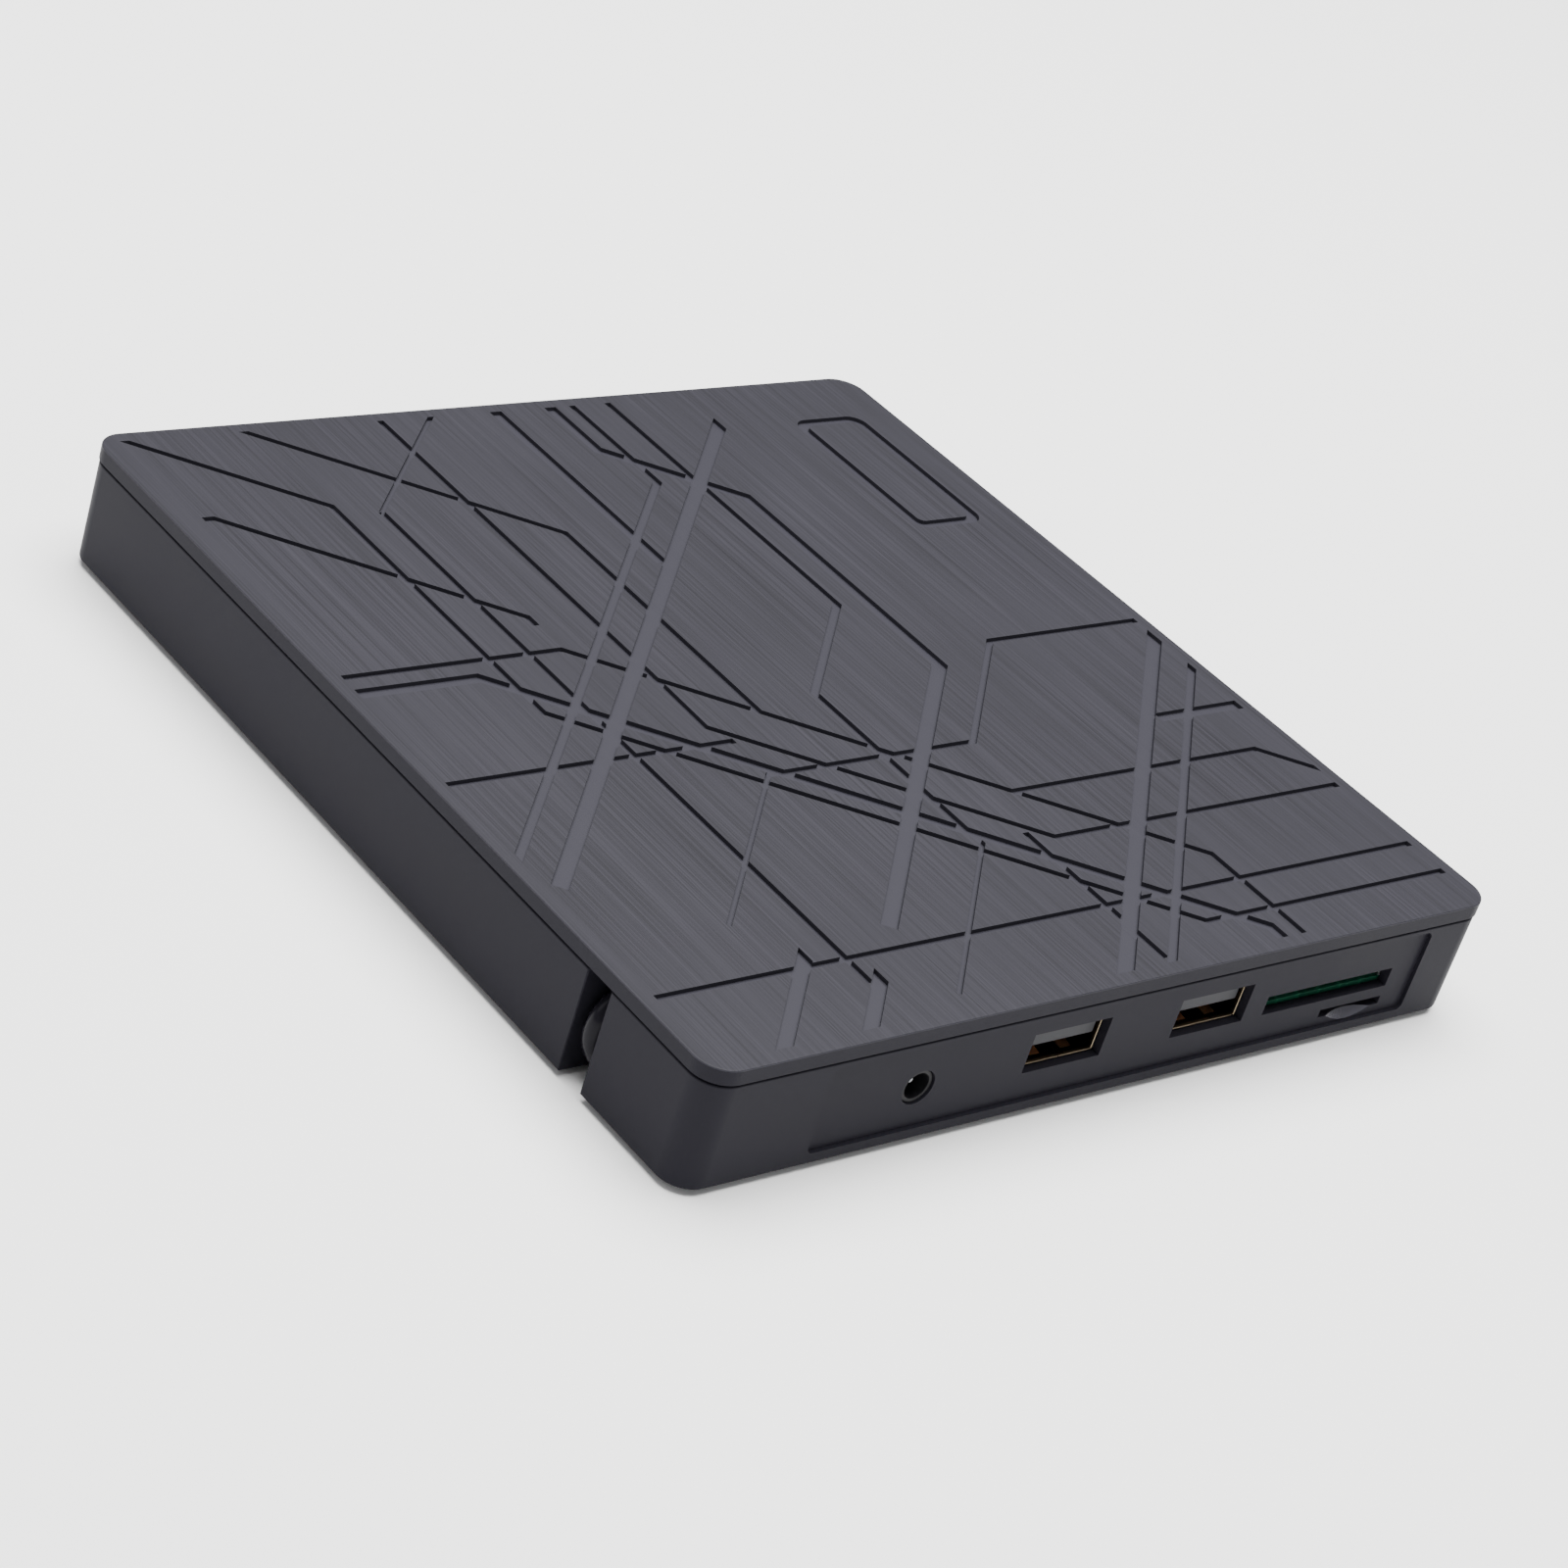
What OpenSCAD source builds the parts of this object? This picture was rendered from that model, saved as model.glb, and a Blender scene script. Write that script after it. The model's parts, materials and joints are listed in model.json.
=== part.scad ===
// External disc burner with a slim tray drive, a two-port hub, a card reader and a captive lead.
// Millimetres. Origin at the middle of the footprint, on the surface that the feet stand on.
// +Z is up, the tray opens towards -Y and the sockets face +Y.

/* [Case] */
// Width of the case
case_w = 140; // [136:1:160]
// Depth of the case, tray front to socket face
case_d = 150; // [148:1:165]
// Height of the case without its feet
case_h = 18; // [18:0.5:24]
// Radius of the upright corners
corner_r = 4.5; // [3:0.5:5]
// Thickness of the side walls
wall = 1.8; // [1.4:0.1:2.2]
// Thickness of the floor
floor_t = 1.8; // [1.4:0.1:2.2]
// Thickness of the top cover
lid_t = 1.4; // [1.2:0.1:1.8]
// Height of the top cover's rim, down to the seam
lid_rim = 2.2; // [2:0.1:3]
// Width of the seam between cover and lower case
seam_gap = 0.35; // [0.15:0.05:0.5]
// How far the lower case stands in from the cover
case_inset = 0.15; // [0.1:0.05:0.6]
// Length of the cover's locating lip
lip_l = 1.7; // [1.2:0.1:2]
// Thickness of the cover's locating lip
lip_t = 1; // [0.8:0.1:1.2]

/* [Top pattern] */
// Depth of the grooves
groove_d = 0.6; // [0.3:0.05:0.7]
// Width of the thin grooves
line_w = 1.1; // [0.8:0.1:1.4]
// Width of the fine slanting grooves
fine_w = 0.8; // [0.6:0.1:1]
// Width of the narrow slanting bands
band_w = 1.4; // [1:0.1:2]
// Width of the strips along the edges' directions
strip_w = 2.1; // [1.6:0.1:2.5]
// Width of the broad slanting bands
broad_w = 2.4; // [2:0.1:3]
// Border without grooves along the cover's edge
groove_margin = 2.2; // [1.5:0.1:4]
// Width of the ring groove round the bare badge field
ring_w = 1.8; // [1:0.1:2.5]

/* [Feet and screws] */
// Radius of a rubber foot
foot_r = 3.5; // [2.5:0.1:3.6]
// Height of a foot below the case
foot_h = 1; // [0.6:0.1:2]
// Depth of a foot's recess in the floor
foot_sink = 0.6; // [0.4:0.1:0.8]
// Distance of the feet from the case's sides
foot_in_x = 10; // [9:0.5:12]
// Distance of the feet from the case's front and back
foot_in_y = 6.7; // [6.5:0.1:8]
// Radius of a case screw's shank
screw_r = 0.95; // [0.8:0.05:1.1]
// Radius of a case screw's head
screw_head_r = 2; // [1.6:0.1:2.2]
// Radius of the cover's screw posts
post_r = 2.8; // [2.4:0.1:3]

/* [Socket face] */
// Width of the sunk panel round the sockets
panel_w = 109; // [106:1:112]
// Height of the sunk panel
panel_h = 13.1; // [12.8:0.1:13.4]
// Depth of the sunk panel
panel_sunk = 0.6; // [0.5:0.1:1.2]
// Thickness of the panel's wall
panel_t = 1.5; // [1.2:0.1:1.8]
// Height of the power socket's axis above the case's underside
dc_up = 7.8; // [7.4:0.1:8.2]
// Radius of the power socket's hole in the panel
dc_r = 2.6; // [2.3:0.1:3]
// Radius of the power socket's bore
dc_bore_r = 1.9; // [1.7:0.1:2]
// Radius of the power socket's centre pin
dc_pin_r = 0.65; // [0.5:0.05:0.8]
// Height of the hub sockets' middle above the case's underside
usb_up = 9; // [8.8:0.1:9.4]
// Width of a hub socket's opening in the panel
usb_w = 13.7; // [13.5:0.1:14.2]
// Height of a hub socket's opening in the panel
usb_h = 6.1; // [6:0.1:6.4]
// Width of the large card slot
sd_w = 24.9; // [24.6:0.1:25.4]
// Height of the large card slot
sd_h = 3; // [2.8:0.1:3.2]
// Height of the large card slot's middle above the case's underside
sd_up = 7.6; // [7.5:0.1:7.7]
// Width of the small card slot
tf_w = 12.3; // [11.8:0.1:12.8]
// Height of the small card slot
tf_h = 1.3; // [1.2:0.1:1.5]
// Height of the small card slot's middle above the case's underside
tf_up = 3.7; // [3.6:0.1:3.9]
// Width of the thumb scoop under the small card slot
scoop_w = 10; // [8:0.5:11]

/* [Lead] */
// Diameter of the captive lead
lead_d = 3.6; // [3:0.1:3.8]
// Width of the side notch that the lead leaves by
notch_w = 4.7; // [4.6:0.1:5]
// Width of the storage channel under the case
channel_w = 4.4; // [4.2:0.1:4.8]
// Width of the plug's moulded grip
grip_w = 15; // [14:0.5:16]
// Thickness of the plug's moulded grip
grip_t = 5.4; // [5:0.1:5.6]
// Length of the plug's moulded grip
grip_l = 20; // [16:1:22]

/* [Drive] */
// Width of the slim drive
drive_w = 128; // [127:0.5:128.5]
// Height of the slim drive
drive_h = 9.5; // [9.5:0.1:9.7]
// Thickness of the drive's sheet metal
sheet = 0.7; // [0.5:0.1:0.8]
// Thickness of the tray's front bezel
bezel_t = 2.6; // [2.2:0.1:3]
// Radius of the discs that the tray takes
disc_r = 60; // [59:0.1:60]
// Radius of the disc hub
hub_r = 7.4; // [7.3:0.05:7.45]
// Radius of the turntable
turntable_r = 13; // [11.5:0.5:13]
// Radius of the spindle motor's bell
bell_r = 11; // [9.5:0.5:11]
// Direction of the pickup's travel, from +X
sled_angle = 225; // [220:1:230]
// Radius of the pickup's guide rods
rod_r = 1; // [0.8:0.05:1.1]
// Radius of the pickup's lead screw
leadscrew_r = 1.2; // [1:0.05:1.2]
// Width of the eject button
button_w = 12; // [8:0.5:14]
// Height of the eject button
button_h = 3; // [2:0.1:3.4]

/* [Hidden] */
$fn = 64;

// Running clearance of a shaft, and the larger gap between sliding mouldings
fit = 0.05;
slip = 0.2;
// A cut reaches this far past the face that it opens
over = 1;

// Levels of the case
z0 = foot_h;
z_top = z0 + case_h;
z_lid = z_top - lid_t;
z_seam = z_top - lid_rim;
z_wall = z_seam - seam_gap;
z_floor = z0 + floor_t;
half_w = case_w / 2;
half_d = case_d / 2;
low_x = half_w - case_inset;
low_y = half_d - case_inset;
in_x = low_x - wall;
in_y = low_y - wall;
lip_gap = 0.15;
lip_x = in_x - lip_gap;
lip_y = in_y - lip_gap;
boss_z = z_floor + 3;
head_z = z0 + 2;
head_t = 0.35;
screw_bite = 6;

// Levels of the drive, hung under the cover
drive_top = z_lid - slip;
drive_bot = drive_top - drive_h;
pan_z = drive_bot + sheet;
roof_z = drive_top - sheet;
drive_x = drive_w / 2;
pan_x = drive_x - sheet;
bezel_y = -half_d + bezel_t;
pan_front = bezel_y + 0.4;
bay_gap = 0.3;
well_r = disc_r + 0.4;
spindle_y = bezel_y + well_r + 0.3;
tray_back = spindle_y + disc_r + 0.1;
pan_back = tray_back + 0.3 + sheet;
tray_x = pan_x - 2.1;
tray_top = roof_z - 1;
well_z = tray_top - 1.8;
well_t = 1.2;
skirt_z = pan_z + 0.75;
bottom_t = 0.4;
deep_back = spindle_y + 23.7;
skirt_t = 1.4;

// Rear panel and hub board
panel_x = -4.5;
panel_z0 = z0 + 1.6;
panel_y = low_y - panel_sunk;
pad_y = panel_y - panel_t;
dc_x = 33.6;
usb_x = [8.4, -18.3];
sd_x = -41.6;
tf_x = -47.9;
dc_z = z0 + dc_up;
usb_z = z0 + usb_up;
sd_z = z0 + sd_up;
tf_z = z0 + tf_up;
board_t = 1;
board_z = sd_z - sd_h / 2 - 0.4;
board_top = board_z + board_t;
board_back = pad_y - 0.2;
board_front = pan_back + 5.1;
board_x = [13.5 - half_w, half_w - 15];
stake_at = [[22, pad_y - 6], [-5, pad_y - 6], [48, pad_y - 4.5]];
prop_at = [-33.5, pad_y - 11];
stake_r = 0.8;
prop_r = 2;

// Lead, its channel and its plug
lead_r = lead_d / 2;
lead_z = z0 + 0.5 + lead_r;
notch_y = pan_back + 0.4;
loop_r = 5;
loop_x = low_x - 0.3 - lead_r - loop_r;
loop_y = notch_y + notch_w / 2;
loop_z = lead_z + loop_r;
loop_top = loop_z + loop_r;
notch_in = loop_x - 0.2;
bend_r = 8;
rib_t = 1.2;
rib_at = [-62, -20, 20, 62];
channel_z = lead_z + lead_r + 0.4;
run_back = loop_y;
run_left = 20 - half_w;
run_front = -52;
plug_x = 8;
relief_l = 8;
shell_l = 12;
plug_end = plug_x + relief_l + grip_l + shell_l;
grip_z = z0 + 0.3 + grip_t / 2;
pocket_gap = 0.5;
pocket_z = grip_z + grip_t / 2 + 0.2;
lead_sides = 8;
// Places of the channel's lips: x, y and direction
lip_at = [[30, run_back, 0], [0, run_back, 0], [-30, run_back, 0], [run_left, 30, 90],
    [run_left, 0, 90], [run_left, -30, 90], [-20, run_front, 0]];
lip_w = 3;
lip_out = 0.7;
lip_h = 0.35;

// Pickup mechanism, laid out along its travel from the spindle
frame_z = skirt_z + 0.15;
cover_z = well_z - 0.4;
frame_half = 17.5;
frame_in = frame_half - 1.1;
frame_s = [-17, 64];
rod_t = frame_half - 2.7;
rod_z = skirt_z + 1.75;
lens_s = 23.5;
sled_travel = 34;
carriage_s = [lens_s - 11, lens_s + 5];
screw_t = 3 - rod_t;
journal_r = 0.8;
motor_r = 2.1;
motor_s = lens_s - 6 + sled_travel + 1.7;
ear_out = frame_half + 3.5;
ear_at = [[0, ear_out], [0, -ear_out], [45, ear_out], [45, -ear_out]];
ear_t = 1.2;
ear_z = well_z - well_t - 1.3 - ear_t;
sled_z = [frame_z + 0.2, cover_z - 0.6];

// Front controls
button_x = 36;
button_z = drive_bot + 4.3;
button_travel = 0.6;
pipe_x = 22;
pipe_r = 1.1;
pinhole_x = 12;
pinhole_r = 0.6;

// Grooves of the cover: width, then points with u along the socket edge from the corner over the notch
// and v away from that edge
GROOVES = [
    [line_w, [[3, 149], [25.5, 126.5], [25.5, 73], [90.25, 8.25], [140, 8.25]]],
    [line_w, [[4.5, 126.2], [6.2, 126.2], [37.7, 94.7], [37.7, 92.5]]],
    [line_w, [[22, 149.5], [57.55, 113.95], [57.55, 66]]],
    [line_w, [[47.15, 150], [47.15, 76.85], [103, 21], [103, 0]]],
    [line_w, [[47.15, 76.85], [46.9, 64.95], [81.65, 30.2], [140, 30.2]]],
    [line_w, [[32.2, 123.8], [32.2, 10]]],
    [line_w, [[2, 86.25], [37.75, 86.25], [47.15, 76.85]]],
    [line_w, [[82.35, 150], [82.35, 124.6]]],
    [line_w, [[89.15, 150], [89.15, 88.7]]],
    [line_w, [[69.3, 69.2], [69.3, 31.8]]],
    [line_w, [[140, 75.05], [107.7, 75.05]]],
    [line_w, [[85.7, 52.85], [48.8, 52.85]]],
    [line_w, [[83, 41], [131.2, 41], [140, 32.2]]],
    [line_w, [[0, 15.1], [140, 15.1]]],
    [line_w, [[2, 61.05], [49, 61.05]]],
    [line_w, [[77.65, 32.2], [77.65, 3.2]]],
    [fine_w, [[59.7, 151.3], [32.2, 123.8]]],
    [band_w, [[140, 64.3], [75.6, -0.1]]],
    [strip_w, [[2, 82.35], [21.35, 82.35], [98.9, 4.8], [98.9, 0]]],
    [strip_w, [[121, 51.55], [140, 51.55]]],
    [strip_w, [[68, 150], [68, 104]]],
    [strip_w, [[78.2, 150], [78.2, 134.9], [94.65, 118.45], [94.65, 71.2]]],
    [broad_w, [[140, 72.85], [66.9, -0.25]]]
];
// Slanting grooves whose head is cut straight: width, points and the corner they stop at
CUT_GROOVES = [
    [line_w, [[109, 76.3], [85.4, 52.7]], [case_w, 75.05 + line_w / 2]],
    [fine_w, [[71, 33.3], [42.6, 4.9]], [69.3 + line_w / 2, case_d]],
    [fine_w, [[50, 54.2], [21.1, 25.3]], [case_w, 52.85 + line_w / 2]],
    [band_w, [[84, 126.5], [0, 42.5]], [82.35 + line_w / 2, case_d]],
    [band_w, [[90.5, 90.1], [68.9, 68.5]], [89.15 + line_w / 2, case_d]],
    [strip_w, [[9.7, -0.3], [29, 19]], [27.4, case_d]],
    [strip_w, [[23.6, -0.1], [36.3, 12.6]], [34.7, case_d]],
    [broad_w, [[96.5, 73.1], [42.7, 19.3]], [94.65 + strip_w / 2, case_d]],
    [broad_w, [[107.4, 141.5], [3.8, 37.9]], [105.2, case_d]]
];
// Badge field: corner, size and corner radius of the ring groove's outside
ring_at = [118.8, 105.2];
ring_size = [13.8, 33];
ring_r = 2.6;

// A block between two corners
module block(a, b) translate(a) cube(b - a);

// A rectangle round the middle with round corners
module plate2d(w, d, r) {
    square([w - 2 * r, d], center = true);
    square([w, d - 2 * r], center = true);
    for (x = [-1, 1], y = [-1, 1])
        translate([x * (w / 2 - r), y * (d / 2 - r)]) circle(r);
}

// The same as a slab between two levels
module slab(w, d, r, a, b) translate([0, 0, a]) linear_extrude(b - a) plate2d(w, d, r);

// A flat line of a given width through points, with mitred bends
function unit(v) = v / norm(v);
function step_dir(points, i) = unit(points[i + 1] - points[i]);
function edge_point(points, i, out) = let (
        before = step_dir(points, max(i - 1, 0)),
        after = step_dir(points, min(i, len(points) - 2)),
        turned = before + after)
    points[i] + out * [-turned.y, turned.x] / (1 + before * after);

module stroke2d(w, points) {
    last = len(points) - 1;
    polygon(concat([for (i = [0 : last]) edge_point(points, i, w / 2)],
        [for (i = [last : -1 : 0]) edge_point(points, i, -w / 2)]));
}

// A quarter of a flat ring in the first quadrant
module quarter2d(r, w) intersection() {
    difference() {
        circle(r + w / 2);
        circle(r - w / 2);
    }
    square(r + w);
}

// A rod between two distances along X
module rod_x(r, a, b) translate([a, 0, 0]) rotate([0, 90, 0]) cylinder(r = r, h = b - a);

// Places what is drawn along the pickup's travel
module on_sled() translate([0, spindle_y, 0]) rotate(sled_angle) children();

// Top cover with its grooves, rim, lip and screw posts
module on_cover() translate([half_w, half_d]) rotate(180) intersection() {
    children();
    translate([groove_margin, groove_margin])
        square([case_w - 2 * groove_margin, case_d - 2 * groove_margin]);
}

module ring2d() translate(ring_at + ring_size / 2) difference() {
    plate2d(ring_size.x, ring_size.y, ring_r);
    plate2d(ring_size.x - 2 * ring_w, ring_size.y - 2 * ring_w, ring_r - ring_w + 0.4);
}

function screw_at() = [for (x = [-1, 1]) [x * (half_w - foot_in_x), half_d - foot_in_y]];

module top_cover() color("#5e5d64") difference() {
    union() {
        slab(case_w, case_d, corner_r, z_lid, z_top);
        difference() {
            slab(case_w, case_d, corner_r, z_seam, z_lid);
            slab(2 * in_x, 2 * in_y, corner_r - wall, z_seam - over, z_lid);
        }
        difference() {
            slab(2 * lip_x, 2 * lip_y, corner_r - wall, z_lid - lip_l, z_lid);
            slab(2 * (lip_x - lip_t), 2 * (lip_y - lip_t), corner_r - wall - lip_t + 0.3,
                z_lid - lip_l - over, z_lid);
            block([notch_in - 2, notch_y - rib_t - bay_gap, z_lid - lip_l - over],
                [half_w, notch_y + notch_w + rib_t + bay_gap, z_lid]);
        }
        for (p = screw_at()) translate([p.x, p.y, boss_z]) cylinder(r = post_r, h = z_lid - boss_z);
    }
    block([-drive_x - bay_gap, -half_d - over, z_seam - lip_l],
        [drive_x + bay_gap, -lip_y + lip_t + over, z_lid]);
    for (p = screw_at()) translate([p.x, p.y, boss_z - over])
        cylinder(r = screw_r + fit, h = screw_bite + 2 * over);
    translate([0, 0, z_top - groove_d]) linear_extrude(groove_d + over) on_cover() {
        for (line = GROOVES) stroke2d(line[0], line[1]);
        for (line = CUT_GROOVES) intersection() {
            stroke2d(line[0], line[1]);
            square(line[2]);
        }
        ring2d();
    }
}

// Lower case: walls, floor, drive ribs, lead channel, plug pocket, notch and socket openings
module channel2d(w) {
    stroke2d(w, [[notch_in + rib_t, run_back], [run_left + bend_r, run_back]]);
    translate([run_left + bend_r, run_back - bend_r]) rotate(90) quarter2d(bend_r, w);
    stroke2d(w, [[run_left, run_back - bend_r], [run_left, run_front + bend_r]]);
    translate([run_left + bend_r, run_front + bend_r]) rotate(180) quarter2d(bend_r, w);
    stroke2d(w, [[run_left + bend_r, run_front], [plug_x + 1, run_front]]);
}

module pocket2d(grow) {
    edge = pocket_gap + grow;
    translate([plug_x - edge, run_front - grip_w / 2 - edge])
        square([plug_end - plug_x + 2 * edge, grip_w + 2 * edge]);
}

module socket_hole(x, z, w, h)
    block([x - w / 2, pad_y - over, z - h / 2], [x + w / 2, low_y + over, z + h / 2]);

module lower_case() color("#403f44") {
    difference() {
        union() {
            difference() {
                slab(2 * low_x, 2 * low_y, corner_r - case_inset, z0, z_wall);
                slab(2 * in_x, 2 * in_y, corner_r - wall, z_floor, z_wall + over);
            }
            for (x = rib_at)
                block([x - rib_t / 2, pan_front, z_floor], [x + rib_t / 2, pan_back - 2, drive_bot]);
            translate([0, 0, z0]) linear_extrude(channel_z - z0 + rib_t) channel2d(channel_w + 2 * rib_t);
            translate([0, 0, z0]) linear_extrude(pocket_z - z0 + 0.8) pocket2d(rib_t);
            block([panel_x - panel_w / 2 - 1, pad_y, z0],
                [panel_x + panel_w / 2 + 1, low_y - over, panel_z0 + panel_h]);
            block([notch_in - rib_t, pan_back + 0.1, z0],
                [low_x - over, notch_y + notch_w + rib_t, z_wall]);
            block([drive_x + 0.1, notch_y - rib_t, z0], [low_x - over, notch_y, z_wall]);
            for (p = screw_at()) translate([p.x, p.y, z0]) cylinder(r = post_r + 0.3, h = boss_z - z0);
            for (p = stake_at) translate([p.x, p.y, z0]) {
                cylinder(r = prop_r, h = board_z - z0);
                cylinder(r = stake_r, h = board_top + 0.5 - z0);
            }
            translate([prop_at.x, prop_at.y, z0]) cylinder(r = prop_r, h = board_z - z0);
        }
        translate([0, 0, z0 - over]) linear_extrude(channel_z - z0 + over) channel2d(channel_w);
        translate([0, 0, z0 - over]) linear_extrude(pocket_z - z0 + over) pocket2d(0);
        block([notch_in, notch_y, z0 - over], [half_w + over, notch_y + notch_w, z_wall + over]);
        block([notch_in - rib_t - over, loop_y - grommet_y, grommet_z[0]],
            [notch_in + over, loop_y + grommet_y, grommet_z[1]]);
        translate([panel_x, low_y + over, panel_z0 + panel_h / 2]) rotate([90, 0, 0])
            linear_extrude(panel_sunk + over) plate2d(panel_w, panel_h, 1);
        translate([dc_x, pad_y - over, dc_z]) rotate([-90, 0, 0]) cylinder(r = dc_r, h = 5);
        for (x = usb_x) socket_hole(x, usb_z, usb_w, usb_h);
        socket_hole(sd_x, sd_z, sd_w, sd_h);
        socket_hole(tf_x, tf_z, tf_w, tf_h);
        translate([tf_x, panel_y, panel_z0 + 0.2]) rotate([scoop_tilt, 0, 0])
            translate([0, scoop_r, 0]) cylinder(r = scoop_r, h = 2);
        block([-drive_x - bay_gap, -half_d - over, drive_bot - bay_gap],
            [drive_x + bay_gap, -in_y + over, z_wall + over]);
        for (p = screw_at()) {
            translate([p.x, p.y, z0 - over]) cylinder(r = screw_head_r + 0.2, h = head_z - z0 + over);
            translate([p.x, p.y, z0 - over]) cylinder(r = screw_r + 0.2, h = boss_z);
        }
        for (p = foot_at()) translate([p.x, p.y, z0 - over]) cylinder(r = foot_r, h = foot_sink + over);
    }
    for (at = lip_at) lips(at);
}
scoop_sink = 1;
scoop_r = scoop_w * scoop_w / (8 * scoop_sink) + scoop_sink / 2;
scoop_tilt = atan(scoop_sink / (tf_z - tf_h / 2 - panel_z0 - 0.2));
grommet_z = [loop_top - lead_r - 0.5, loop_top + lead_r + 0.5];
grommet_y = lead_r + 0.4;

// A pair of small lips that keep the lead in its channel
module lips(at) translate([at.x, at.y, z0]) rotate(at.z) for (side = [-1, 1])
    translate([-lip_w / 2, side * channel_w / 2 - (side > 0 ? lip_out : 0), 0])
        cube([lip_w, lip_out, lip_h]);

function foot_at() = [for (x = [-1, 1], y = [-1, 1])
    [x * (half_w - foot_in_x), y * (half_d - foot_in_y)]];

module rubber_feet() color("#1c1c1e") for (p = foot_at()) translate([p.x, p.y, 0])
    cylinder(r = foot_r - fit, h = foot_h + foot_sink);

module case_screws() color("silver") for (p = screw_at()) translate([p.x, p.y, head_z]) {
    translate([0, 0, -head_t]) difference() {
        cylinder(r = screw_head_r, h = head_t);
        for (a = [0, 90]) rotate(a) cube([2.2, 0.5, 0.5], center = true);
    }
    cylinder(r = screw_r, h = boss_z + screw_bite - head_z);
}

// Hub board with its sockets
sock_back = pad_y - 11;
dc_half = 4.5;
dc_tall = 6.5;
dc_back = sock_back + 1.5;
dc_pin_l = 9;
usb_front = pad_y + 0.4;
usb_back = usb_front - 14;
shell_w = usb_w - 0.6;
shell_h = usb_h - 0.4;
shell_t = 0.3;
tab_w = 1.6;
tongue_w = 11.1;
tongue_in = 0.2;

module hub_board() color("#1f6b3a") difference() {
    block([board_x[0], board_front, board_z], [board_x[1], board_back, board_top]);
    for (x = usb_x) block([x - shell_w / 2 - slip, usb_back - slip, board_z - over],
        [x + shell_w / 2 + slip, board_back + over, board_top + over]);
    block([dc_x - dc_half - slip, sock_back - slip, board_z - over],
        [dc_x + dc_half + slip, board_back + over, board_top + over]);
    for (p = stake_at) translate([p.x, p.y, board_z - over])
        cylinder(r = stake_r + fit, h = board_t + 2 * over);
}

// Square chips on a board: x, y and width of each
module chips(at, z, t) for (p = at) translate([p.x - p.z / 2, p.y - p.z / 2, z]) cube([p.z, p.z, t]);
module hub_chips() color("#202022") chips([[24, 60.5, 7], [-4, 62, 6], [43, 67, 5]], board_top, 1);

module dc_jack() color("#18181a") difference() {
    union() {
        block([dc_x - dc_half, sock_back, dc_z - dc_tall / 2],
            [dc_x + dc_half, pad_y - 0.1, dc_z + dc_tall / 2]);
        translate([dc_x, pad_y - over, dc_z]) rotate([-90, 0, 0])
            cylinder(r = dc_r - 0.1, h = panel_t + over - 0.3);
    }
    translate([dc_x, dc_back, dc_z]) rotate([-90, 0, 0]) cylinder(r = dc_bore_r, h = panel_y - dc_back);
}

module dc_pin() color("silver") translate([dc_x, dc_back, dc_z]) rotate([-90, 0, 0]) {
    cylinder(r = dc_pin_r, h = dc_pin_l);
    translate([0, 0, dc_pin_l]) cylinder(r1 = dc_pin_r, r2 = dc_pin_r / 2, h = 0.5);
}

module usb_shell(x) color("#b9a06a") {
    difference() {
        block([x - shell_w / 2, usb_back, usb_z - shell_h / 2],
            [x + shell_w / 2, usb_front, usb_z + shell_h / 2]);
        block([x - shell_w / 2 + shell_t, usb_back - over, usb_z - shell_h / 2 + shell_t],
            [x + shell_w / 2 - shell_t, usb_front + over, usb_z + shell_h / 2 - shell_t]);
    }
    for (end = [x - shell_w / 2 - tab_w, x + shell_w / 2]) translate([end, usb_back + 4, board_top])
        cube([tab_w, 5, shell_t]);
}

module usb_tongue(x) color("#8d8d90") {
    block([x - shell_w / 2 + shell_t + fit, usb_back + 0.2, usb_z - shell_h / 2 + shell_t + fit],
        [x + shell_w / 2 - shell_t - fit, usb_back + 3, usb_z + shell_h / 2 - shell_t - fit]);
    block([x - tongue_w / 2, usb_back + 2.9, usb_z + fit],
        [x + tongue_w / 2, usb_front - tongue_in, usb_z + 1.9]);
}

module usb_contacts(x) color("#c8893f") {
    for (i = [-3.5, -1, 1, 3.5])
        block([x + i - 0.5, usb_back + 3, usb_z - 0.1],
            [x + i + 0.5, usb_front - tongue_in - 0.8, usb_z + fit]);
    for (i = [-2.8, 2.8]) translate([x + i + 1, 0, usb_z - shell_h / 2 + shell_t]) rotate([90, 0, -90])
        linear_extrude(2) polygon([[-usb_front + 1.2, 0], [-usb_front + 6, 0.9], [-usb_front + 7, 0],
            [-usb_front + 6.6, 0], [-usb_front + 5.9, 0.65], [-usb_front + 2.2, 0]]);
}

module usb_shell_1() usb_shell(usb_x[0]);
module usb_shell_2() usb_shell(usb_x[1]);
module usb_tongue_1() usb_tongue(usb_x[0]);
module usb_tongue_2() usb_tongue(usb_x[1]);
module usb_contacts_1() usb_contacts(usb_x[0]);
module usb_contacts_2() usb_contacts(usb_x[1]);

sd_back = board_front + 2;
sd_top = board_top + 2.4;

module sd_socket() color("#9a9a9c") difference() {
    block([sd_x - sd_w / 2 - 0.9, sd_back, board_top],
        [sd_x + sd_w / 2 + 0.9, pad_y - 0.1, sd_top + shell_t]);
    block([sd_x - sd_w / 2 + slip, sd_back + 0.8, board_top - over],
        [sd_x + sd_w / 2 - slip, pad_y + over, sd_top]);
}

module sd_contacts() color("#d9b45a") for (x = [sd_x - 10 : 2.5 : sd_x + 10])
    block([x - 0.5, sd_back + 0.8, board_top], [x + 0.5, sd_back + 5, board_top + 0.3]);

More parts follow.
